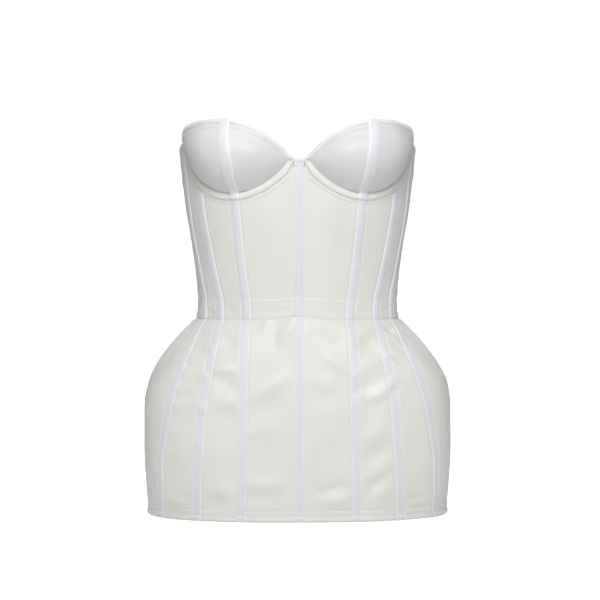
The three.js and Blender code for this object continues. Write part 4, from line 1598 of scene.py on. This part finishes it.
@dataclass
class Casings:
    """The underwire casings and the small bridge between them."""

    wardrobe: Wardrobe
    thickness: float = 0.4
    bridge_thickness: float = 0.6
    ripple: float = 0.25

    def build(self) -> None:
        """Makes both casings and the bridge."""
        for side in Side:
            self._casing(side)
        self._bridge()

    def _casing(self, side: Side) -> None:
        """Makes one casing: a tube along the wire with a stitched flange below it.

        Args:
            side: the wearer's side that it is on.
        """
        sign = side.value
        start = beside(BODICE, centre_front, HALF_TAPE + GAP)
        end = beside(BODICE, BODICE.line("three"), -HALF_TAPE - GAP)
        first, last = start(178), end(160)
        columns = [start]
        for azimuth in steps(first, last, 0.8)[1:-1]:
            columns.append(lambda height, azimuth=azimuth: azimuth)
        columns.append(end)
        downs = list(reversed(CASING_SECTION.keys))
        fine = sorted({*downs, *((a + b) / 2 for a, b in zip(downs, downs[1:]))}, reverse=True)
        rows = [below_wire(down) for down in fine]
        spots = [[crossing(column, row) for column in columns] for row in rows]

        def place(i: int, j: int) -> Vector:
            """A point of the finished surface."""
            azimuth, height = spots[j][i]
            lift = CASING_SECTION.at("lift", fine[j])
            if fine[j] < 0:
                across = FOOT_SHARES.at("across", azimuth)
                lift -= fine[j] * 0.8 * CUP.at("bulge", across) / CUP_BULGE
            if fine[j] < 5.5:
                patch = noise.noise((azimuth * 0.3, sign, 0))
                lift += self.ripple * math.sin(azimuth * 2.6) * patch
            return BODICE.lifted(azimuth * sign, height, lift)

        node = f"underwire_casing_{side.label}"
        cloth = Cloth(f"{node}_tube", len(columns), len(fine))
        obj = cloth.build(place, sign < 0, self.thickness)
        self.wardrobe.dress(obj, Slot.BODY, node)
        size = flat_size(place, len(columns), len(fine))
        declare_sheet(size)

    def _bridge(self) -> None:
        """Makes the folded piece that joins the casings."""
        offsets = steps(-HALF_TAPE, HALF_TAPE, 0.8)
        profile = Table(
            "lift", (0, 1.2), (0.8, 2.1), (2.2, 2.75), (3.8, 2.6), (5.4, 2.0), (6.4, 1.85),
            (8.4, 1.9), (10, 1.2),
        )
        downs = [10, 9.4, 8.4, 7.4, 6.4, 5.9, 5.4, 4.6, 3.8, 3, 2.2, 1.5, 0.8, 0.3, 0]
        rows = [below_wire(down) for down in downs]
        columns = [beside(BODICE, centre_front, offset) for offset in offsets]

        def place(i: int, j: int) -> Vector:
            """A point of the finished surface."""
            azimuth, height = crossing(columns[i], rows[j])
            return BODICE.lifted(azimuth, height, profile.at("lift", downs[j]))

        cloth = Cloth("gore_bridge_ribbon", len(offsets), len(downs))
        obj = cloth.build(place, False, self.bridge_thickness)
        self.wardrobe.dress(obj, Slot.TAPE, "gore_bridge")
        size = flat_size(place, len(offsets), len(downs))
        declare_sheet(size)


@dataclass
class Roll:
    """A bound edge: a strip folded over the cloth, drawn into small slanting puckers."""

    height: float
    thick: float
    face: float
    pucker: float
    pitch: float
    slant: float
    leg: float = 3.5
    turn: float = 78.0
    fullness: float = 1.6

    def profile(self) -> list[tuple[float, float]]:
        """The strip's turns, as an angle and the length that a leg runs down from it.

        Returns:
            The turns from the back leg's end to the front's.
        """
        angles = [(angle, 0.0) for angle in steps(-self.turn, self.turn, 13)]
        legs = [self.leg, self.leg * 0.85, self.leg * 0.5, self.leg * 0.25]
        back = [(-self.turn, leg) for leg in legs]
        return back + angles + [(self.turn, leg) for leg in reversed(legs)]

    def point(
        self, centre: Vector, edge: Vector, out: Vector, angle: float, leg: float, along: float,
        strength: float,
    ) -> Vector:
        """A point of the strip.

        Args:
            centre: the roll's middle.
            edge: the way out of the cloth's edge.
            out: the way out of its face.
            angle: the turn round the roll, positive to the face.
            leg: how far down the leg runs.
            along: millimetres along the edge.
            strength: how strong the puckers are here.

        Returns:
            The point, in millimetres.
        """
        turn = math.radians(angle)
        phase = math.tau * (along + self.slant * angle / 90) / self.pitch
        wave = math.sin(phase + 1.4 * noise.noise((along * 0.06, self.pitch, 0)))
        swell = 1 + self.pucker * strength * (wave - 0.6)
        away = math.sin(turn) * self.thick / 2 * swell
        if leg:
            ease = (1 - leg / self.leg) ** self.fullness
            away = math.copysign(self.face + (abs(away) - self.face) * ease, angle)
        return centre + edge * (math.cos(turn) * self.height / 2 * swell - leg) + out * away


@dataclass
class Bindings:
    """The rolled edges of the cups, the sides and back, and the hem."""

    wardrobe: Wardrobe
    thickness: float = 0.5

    def build(self) -> None:
        """Makes the five rolls."""
        for side in Side:
            self._cup_binding(side)
            self._wing_binding(side)
        self._hem_roll()

    def _sweep(
        self, node: str, roll: Roll, stations: list[Station], flip: bool, slot: Slot
    ) -> None:
        """Makes a strip along a run of stations.

        Args:
            node: the node that it stands for.
            roll: the strip's section.
            stations: each one's centre, edge way, out way and pucker strength.
            flip: whether the grid has to be turned over to face out.
            slot: the record's slot.
        """
        turns = roll.profile()
        along = [0.0]
        for before, after in zip(stations, stations[1:]):
            along.append(along[-1] + (after[0] - before[0]).length)

        def place(i: int, j: int) -> Vector:
            """A point of the finished surface."""
            centre, edge, out, strength = stations[i]
            angle, leg = turns[j]
            return roll.point(centre, edge, out, angle, leg, along[i], strength)

        cloth = Cloth(f"{node}_strip", len(stations), len(turns))
        obj = cloth.build(place, flip, self.thickness)
        # The cup binding takes the lighter satin, a painted highlight on its roll
        lit_edging = self.wardrobe.lit_edging if slot is Slot.CUP else None
        self.wardrobe.dress(obj, slot, node, material=lit_edging)
        declare_sheet(flat_size(place, len(stations), len(turns)))

    def _cup_binding(self, side: Side) -> None:
        """Makes the binding along the neckline and down the cup's side.

        Args:
            side: the wearer's side that it is on.
        """
        sign = side.value
        path = [(across, 1.0, 0.0) for across in steps(0.02, 0.97, 0.003)]
        path += [(across, 1.0, (across - 0.97) / 0.03 * 0.5) for across in (0.98, 0.99, 1.0)]
        path += [(1.0, up, 0.5 + (1 - up) / 0.1 * 0.5) for up in (0.98, 0.96, 0.94, 0.92)]
        path += [(1.0, up, 1.0) for up in steps(0.9, 0.54, 0.01)]
        stations = []
        for across, up, turn in path:
            out, up_way, across_way = cup_frame(across, up)
            edge = out.cross(across_way).lerp(up_way.cross(out), turn).normalized()
            centre = cup_point(across, up, -PAD / 2) + edge * ROLL_RISE
            strength = 0.25 + 0.75 * max(0.0, min(1.0, (across - 0.55) / 0.3))
            if across < 0.3:
                strength = 0.35
            flat = [to_side(vector, sign) for vector in (centre, edge, out)]
            if not stations:
                inwards = Vector((-0.75 * sign, -0.5, -0.55))
                for more in (4.4, 2.2):
                    stations.append((flat[0] + inwards * more, flat[1], flat[2], strength))
            stations.append((*flat, strength))
        roll = Roll(
            ROLL_HEIGHT + 0.2, ROLL_THICK, PAD / 2 - 0.65, 0.2, 3.1, 1.3 * sign, leg=5.4,
            fullness=0.4,
        )
        node, rests = f"cup_binding_{side.label}", f"cup_inner_{side.label}"
        self._sweep(node, roll, stations, sign > 0, Slot.CUP)

    def _wing_binding(self, side: Side) -> None:
        """Makes the binding along the sides and back.

        Args:
            side: the wearer's side that it is on.
        """
        sign = side.value
        end = BODICE.zip_edge(BACK_TOP)
        stations = []
        for azimuth in steps(77.4, end, 0.5):
            edge_height = wing_height(azimuth)
            centre = BODICE.lifted(azimuth * sign, edge_height, -WALL / 2)
            out = BODICE.outward(azimuth * sign, edge_height)
            centre.z += ROLL_RISE
            stations.append((centre, Vector((0, 0, 1)), out, 0.7))
        roll = Roll(ROLL_HEIGHT + 0.2, ROLL_THICK - 0.4, WALL / 2 - 0.05, 0.14, 3.4, 1.2 * sign)
        node, rests = f"wing_binding_{side.label}", f"bodice_side_back_{side.label}"
        self._sweep(node, roll, stations, sign > 0, Slot.BODY)

    def _hem_roll(self) -> None:
        """Makes the hem's rolled edge, all round from one side of the zip to the other."""
        height = HEM_EDGE
        end = SKIRT.zip_edge(height)
        tall = HEM_ROLL_HEIGHT - GAP
        stations = []
        for azimuth in steps(-end, end, 0.27):
            centre = SKIRT.lifted(azimuth, height, -WALL / 2)
            centre += self._sway(azimuth, height)
            centre.z = HEM_HEIGHT + tall / 2
            strength = 0.25 + 0.9 * max(0.0, min(1.0, (abs(azimuth) - 40) / 22))
            out = SKIRT.outward(azimuth, height)
            stations.append((centre, Vector((0, 0, -1)), out, strength))
        roll = Roll(tall, ROLL_THICK, WALL / 2 + 0.28, 0.24, 4.1, 0.9, leg=4.4)
        self._sweep("hem_roll", roll, stations, False, Slot.BODY)

    @staticmethod
    def _sway(azimuth: float, height: float) -> Vector:
        """How the creases above move the roll out."""
        lift = SKIRT.relief(azimuth, height + 2)
        return SKIRT.lifted(azimuth, height, lift) - SKIRT.point(azimuth, height)


@dataclass
class Stitching:
    """Rows of stitches, each a small rounded bar that lies on the cloth."""

    wardrobe: Wardrobe
    length: float = 1.8
    pitch: float = 2.6
    radius: float = 0.32
    seat: float = 0.1

    def build(self) -> None:
        """Makes every row of stitches, in a few pieces."""
        self._piece("bodice_tape_stitches", self._tape_rows(BODICE), Slot.TAPE)
        self._piece("skirt_tape_stitches", self._tape_rows(SKIRT), Slot.TAPE)
        bold = Stitching(self.wardrobe, length=2.3, pitch=3.4, radius=0.5)
        bold._piece("cup_stitches", self._cup_rows(), Slot.CUP)
        self._piece("waist_and_hem_stitches", self._level_rows(), Slot.BODY)

    def _piece(self, name: str, runs: list[Run], slot: Slot) -> None:
        """Makes one piece from runs of points and the ways out of the cloth there.

        Args:
            name: the piece's name.
            runs: the runs.
            slot: the record's slot.
        """
        bm = bmesh.new()
        for run in runs:
            row = bmesh.new()
            self._run(row, run)
            mesh = bpy.data.meshes.new("row")
            row.to_mesh(mesh)
            row.free()
            bm.from_mesh(mesh)
            bpy.data.meshes.remove(mesh)
        obj = new_object(name, bm)
        self.wardrobe.dress(obj, slot, material=self.wardrobe.thread)

    def _run(self, bm: bmesh.types.BMesh, run: Run) -> None:
        """Lays stitches along one run.

        Args:
            bm: the run's mesh.
            run: points and the ways out of the cloth.
        """
        travelled = 0.0
        due = self.pitch / 2
        for (a, out_a), (b, out_b) in zip(run, run[1:]):
            step = (b - a).length
            while step > 0 and due <= travelled + step:
                share = (due - travelled) / step
                self._stitch(bm, a.lerp(b, share), (b - a).normalized(), out_a.lerp(out_b, share))
                due += self.pitch
            travelled += step

    def _stitch(self, bm: bmesh.types.BMesh, spot: Vector, way: Vector, out: Vector) -> None:
        """Makes one stitch.

        Args:
            bm: the run's mesh.
            spot: its middle.
            way: the way that it runs.
            out: the way out of the cloth.
        """
        side = way.cross(out).normalized()
        up = side.cross(way).normalized()
        turn = Matrix((way, side, up)).transposed().to_4x4()
        size = Matrix.Diagonal((self.length / 2 * MM, self.radius * MM, self.radius * MM, 1))
        place = Matrix.Translation((spot + up * self.seat) * MM)
        bmesh.ops.create_icosphere(bm, subdivisions=1, radius=1, matrix=place @ turn @ size)

    @staticmethod
    def _on_shell(
        shell: Shell, column: Column, heights: Sequence[float], sign: int, lift: Lift
    ) -> Run:
        """A run up a column of the body.

        Args:
            shell: the part of the body.
            column: the column.
            heights: the run's heights.
            sign: the side.
            lift: the lift at an azimuth and height.

        Returns:
            The points and the ways out.
        """
        run = []
        for height in heights:
            azimuth = column(height) * sign
            spot = shell.lifted(azimuth, height, lift(azimuth, height))
            run.append((spot, shell.outward(azimuth, height)))
        return run

    def _tape_rows(self, shell: Shell) -> list[Run]:
        """The two rows along each tape.

        Args:
            shell: the part of the body.

        Returns:
            The runs.
        """
        runs = []
        tapes = Tapes(self.wardrobe)
        lines = [(centre_front, 1)]
        lines += [(shell.line(name), side.value) for name in LINE_NAMES for side in Side]
        for line, sign in lines:
            for offset in (-TAPE_STITCH, TAPE_STITCH):
                column = beside(shell, line, offset)
                if shell is SKIRT:
                    heights = steps(-2, HEM_HEIGHT + 7, 2.4)
                else:
                    top = bodice_edge(line(150)) - 2
                    if line(150) < WIRE_END - 1:
                        top = below_wire(CASING_WIDTH + 1)(line(140))
                    heights = steps(2, top, 2.4)

                def lift(azimuth: float, height: float, offset: float = offset) -> float:
                    """The tape's lift under this row."""
                    return tapes.face_lift(shell, offset, azimuth, height)

                runs.append(self._on_shell(shell, column, heights, sign, lift))
        return runs

    def _cup_rows(self) -> list[Run]:
        """The rows below the neckline, beside the cups' tapes and on the casings' flanges.

        Returns:
            The runs.
        """
        runs = []
        for side in Side:
            sign = side.value
            neckline = []
            for across in steps(0.08, 0.985, 0.01):
                up = 1 - (CUP_BAND + 0.7) / max(CUP_LENGTHS.at("length", across), 12)
                spot = cup_point(across, up, cup_relief(across, up))
                out = cup_frame(across, up)[0]
                neckline.append((to_side(spot, sign), to_side(out, sign)))
            runs.append(neckline)
            for offset in (-TAPE_STITCH, TAPE_STITCH):
                run = []
                for up in steps(0.07, 0.93, 0.02):
                    share = seam_share(offset, up)
                    spot = cup_point(share, up, 0.8 + cup_relief(0.5, up))
                    out = cup_frame(share, up)[0]
                    run.append((to_side(spot, sign), to_side(out, sign)))
                runs.append(run)
            for down in (6.4, 8.6):
                run = []
                for azimuth in steps(5, 69, 0.8):
                    height = below_wire(down)(azimuth)
                    lift = CASING_SECTION.at("lift", down)
                    spot = BODICE.lifted(azimuth * sign, height, lift)
                    run.append((spot, BODICE.outward(azimuth * sign, height)))
                runs.append(run)
        return runs

    @staticmethod
    def _level_rows() -> list[Run]:
        """The rows round the waist stay and the hem's fold.

        Returns:
            The runs.
        """
        runs = []
        for shell, height in ((BODICE, STAY_HEIGHT), (SKIRT, HEM_STITCH_HEIGHT)):
            end = shell.zip_edge(height) - 6
            run = []
            for azimuth in steps(-end, end, 0.8):
                near = min(abs(abs(azimuth) - line) for line in shell.all_lines(height))
                distance = near * shell.spread(azimuth, height)
                lift = shell.relief(azimuth, height) - 0.2
                if distance < HALF_TAPE:
                    lift = shell.relief(azimuth, height) + TAPE_SECTION.at("lift", distance) - 0.16
                spot = shell.lifted(azimuth, height, lift)
                run.append((spot, shell.outward(azimuth, height)))
            runs.append(run)
        return runs


@dataclass
class Zip:
    """The closed centre back zip: its tapes, coil, slider and pull tab."""

    wardrobe: Wardrobe
    tape_width: float = 24.0
    tape_lift: float = -2.0
    tape_thickness: float = 0.6
    coil_width: float = 5.2
    tooth_pitch: float = 1.55
    coil_lift: float = -0.75

    def build(self) -> None:
        """Makes the tapes and coil, and finishes the slider and tab."""
        self._tape()
        self._coil()
        self._hard_piece("zip_slider", "garment", 0.45)
        self._hard_piece("zip_pull_tab", "pull_tab", 0.35)

    @staticmethod
    def _heights(size: float) -> list[tuple[Shell, float]]:
        """The parts and heights up the centre back.

        Args:
            size: about how far apart they are.

        Returns:
            The parts and heights, from the hem up.
        """
        low = [(SKIRT, height) for height in steps(HEM_EDGE, -0.6, size)]
        return low + [(BODICE, height) for height in steps(0.6, BACK_TOP, size)]

    def _tape(self) -> None:
        """Makes the woven tapes behind the opening."""
        heights = self._heights(3.0)
        offsets = steps(-self.tape_width / 2, self.tape_width / 2, 1.0)

        def place(i: int, j: int) -> Vector:
            """A point of the finished surface."""
            shell, height = heights[j]
            azimuth = 180 + offsets[i] / shell.spread(180, height)
            rise = 0.5 * bell(offsets[i], 3.2)
            return shell.lifted(azimuth, height, self.tape_lift + rise)

        cloth = Cloth("zip_chain_tapes", len(offsets), len(heights))
        obj = cloth.build(place, False, self.tape_thickness)
        self.wardrobe.dress(obj, Slot.ZIP_TAPE, "zip_chain")
        size = flat_size(place, len(offsets), len(heights))
        declare_sheet(size)

    def _coil(self) -> None:
        """Makes the coil's turns, which mesh from both sides along the middle."""
        bm = bmesh.new()
        spots = [(SKIRT, height) for height in steps(HEM_EDGE + 1, -1, self.tooth_pitch)]
        spots += [(BODICE, height) for height in steps(1, BACK_TOP - 1, self.tooth_pitch)]
        for index, (shell, height) in enumerate(spots):
            side = 1 if index % 2 else -1
            offset = side * self.coil_width * 0.17
            azimuth = 180 + offset / shell.spread(180, height)
            spot = shell.lifted(azimuth, height, self.coil_lift)
            rising = shell.point(180, height + STEP) - shell.point(180, height - STEP)
            rising.normalize()
            across = Vector((-1, 0, 0))
            out = rising.cross(across).normalized()
            turn = Matrix((across, rising, out)).transposed().to_4x4()
            size = Matrix.Diagonal((self.coil_width * 0.35 * MM, 0.52 * MM, 1.0 * MM, 1))
            bmesh.ops.create_icosphere(
                bm, subdivisions=2, radius=1, matrix=Matrix.Translation(spot * MM) @ turn @ size
            )
        obj = new_object("zip_chain_coil", bm)
        self.wardrobe.dress(obj, Slot.ZIP_TAPE, material=self.wardrobe.teeth)

    def _hard_piece(self, node: str, body: str, bevel: float) -> None:
        """Rounds the edges of a copy of a metal node.

        Args:
            node: the node that it stands for.
            body: the body that it rides on.
            bevel: the width of its rounded edges, in millimetres.
        """
        bm = bmesh.new()
        bm.from_mesh(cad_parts[node].data)
        bmesh.ops.remove_doubles(bm, verts=bm.verts[:], dist=0.00001)
        bmesh.ops.dissolve_limit(
            bm, angle_limit=math.radians(2), verts=bm.verts[:], edges=bm.edges[:]
        )
        sharp = [edge for edge in bm.edges if edge.calc_face_angle(0) > math.radians(35)]
        bmesh.ops.bevel(
            bm, geom=sharp, offset=bevel * MM, segments=2, profile=0.5, affect="EDGES", material=-1,
            clamp_overlap=True,
        )
        obj = new_object(f"{node}_polished", bm)
        obj.data.shade_flat()
        self.wardrobe.dress(obj, Slot.METAL, node, body=body)


@dataclass(frozen=True)
class SoftBox:
    """A soft light that faces the garment, in metres and watts."""

    name: str
    spot: tuple[float, float, float]
    width: float
    height: float
    power: float

    def hang(self) -> None:
        """Makes the light."""
        data = bpy.data.lights.new(self.name, "AREA")
        data.shape = "RECTANGLE"
        data.size = self.width
        data.size_y = self.height
        data.energy = self.power
        light = bpy.data.objects.new(self.name, data)
        light.location = self.spot
        light.rotation_euler = (-Vector(self.spot)).to_track_quat("-Z", "Y").to_euler()
        bpy.context.scene.collection.objects.link(light)


SOFT_BOXES = (
    SoftBox("key", (0.0, -2.05, 1.55), 0.9, 0.8, 39.5),
    SoftBox("front", (0.0, -2.7, 0.1), 1.2, 0.8, 7),
    SoftBox("top", (0.0, -0.3, 2.3), 2.0, 0.8, 4),
    SoftBox("top_left", (0.7, 0.05, 2.2), 0.8, 0.8, 7),
    SoftBox("top_right", (-0.7, 0.05, 2.2), 0.8, 0.8, 7),
    SoftBox("behind", (0.0, 1.95, 1.7), 0.9, 0.8, 40),
)


@dataclass
class Studio:
    """The pale floor, the soft lights, the plain surroundings and the camera."""

    floor_drop: float = 0.228
    camera_turn: float = -1.0
    distance: float = 1.7
    focal_pixels: float = 1440.7
    image_pixels: float = 600.0
    floor_glow: float = 1.1
    ambient: float = 0.11
    surroundings: float = 1.25

    def build(self) -> None:
        """Makes the whole set."""
        self._camera()
        self._floor()
        self._world()
        for box in SOFT_BOXES:
            box.hang()

    def _camera(self) -> None:
        """Places the camera level, in front, as the photograph was taken."""
        data = bpy.data.cameras.new("camera")
        data.sensor_width = 36.0
        data.lens = self.focal_pixels / self.image_pixels * data.sensor_width
        camera = bpy.data.objects.new("camera", data)
        turn = Matrix.Rotation(math.radians(self.camera_turn), 4, "Z")
        camera.location = turn @ Vector((0.00295, -self.distance, 0.0217))
        camera.rotation_euler = (math.radians(90), 0, math.radians(self.camera_turn))
        bpy.context.scene.collection.objects.link(camera)
        bpy.context.scene.camera = camera

    def _floor(self) -> None:
        """Makes a wide pale floor."""
        bm = bmesh.new()
        bmesh.ops.create_circle(bm, cap_ends=True, segments=96, radius=30)
        bmesh.ops.translate(bm, verts=bm.verts[:], vec=(0, 0, -self.floor_drop))
        floor = new_object("floor", bm)
        paint = bpy.data.materials.new("pale_floor")
        paint.use_nodes = True
        tree = paint.node_tree
        shader = tree.nodes["Principled BSDF"]
        feeds = {"Base Color": (0.7, 0.7, 0.7, 1), "Roughness": 0.9, "Specular IOR Level": 0.1}
        feed(tree, shader, feeds)
        glow = add_node(tree, "Emission", {"Strength": self.floor_glow})
        both = add_node(tree, "AddShader", {0: shader.outputs[0], 1: glow.outputs[0]})
        self._split_rays(tree, shader, both, tree.nodes["Material Output"])
        floor.data.materials.append(paint)

    @staticmethod
    def _split_rays(
        tree: bpy.types.NodeTree,
        plain: bpy.types.Node,
        seen: bpy.types.Node,
        output: bpy.types.Node,
    ) -> None:
        """Gives the camera's rays one shader and all others another.

        Args:
            tree: the tree that they are in.
            plain: the shader for all other rays.
            seen: the shader for the camera's rays.
            output: the tree's output.
        """
        path = add_node(tree, "LightPath", {})
        feeds = {"Fac": path.outputs["Is Camera Ray"], 1: plain.outputs[0], 2: seen.outputs[0]}
        mix = add_node(tree, "MixShader", feeds)
        feed(tree, output, {"Surface": mix.outputs[0]})

    def _world(self) -> None:
        """Makes surroundings that are white to the camera and dimmer to the cloth."""
        world = bpy.data.worlds.new("studio")
        world.use_nodes = True
        tree = world.node_tree
        dim = tree.nodes["Background"]
        feed(tree, dim, {"Color": (1, 1, 1, 1), "Strength": self.ambient})
        feeds = {"Color": (1, 1, 1, 1), "Strength": self.surroundings}
        white = add_node(tree, "Background", feeds)
        self._split_rays(tree, dim, white, tree.nodes["World Output"])
        bpy.context.scene.world = world
        bpy.context.scene.view_settings.view_transform = "Standard"


def main() -> None:
    """Builds the set and the garment's sub-assemblies in order."""
    logging.basicConfig(level=logging.INFO, format="%(name)s %(message)s")
    Studio().build()
    wardrobe = Wardrobe()
    for shell in (BODICE, SKIRT):
        Panels(shell, wardrobe).build()
    Cups(wardrobe).build()
    Casings(wardrobe).build()
    Tapes(wardrobe).build()
    Bindings(wardrobe).build()
    Stitching(wardrobe).build()
    Zip(wardrobe).build()


if __name__ == "__main__":
    main()
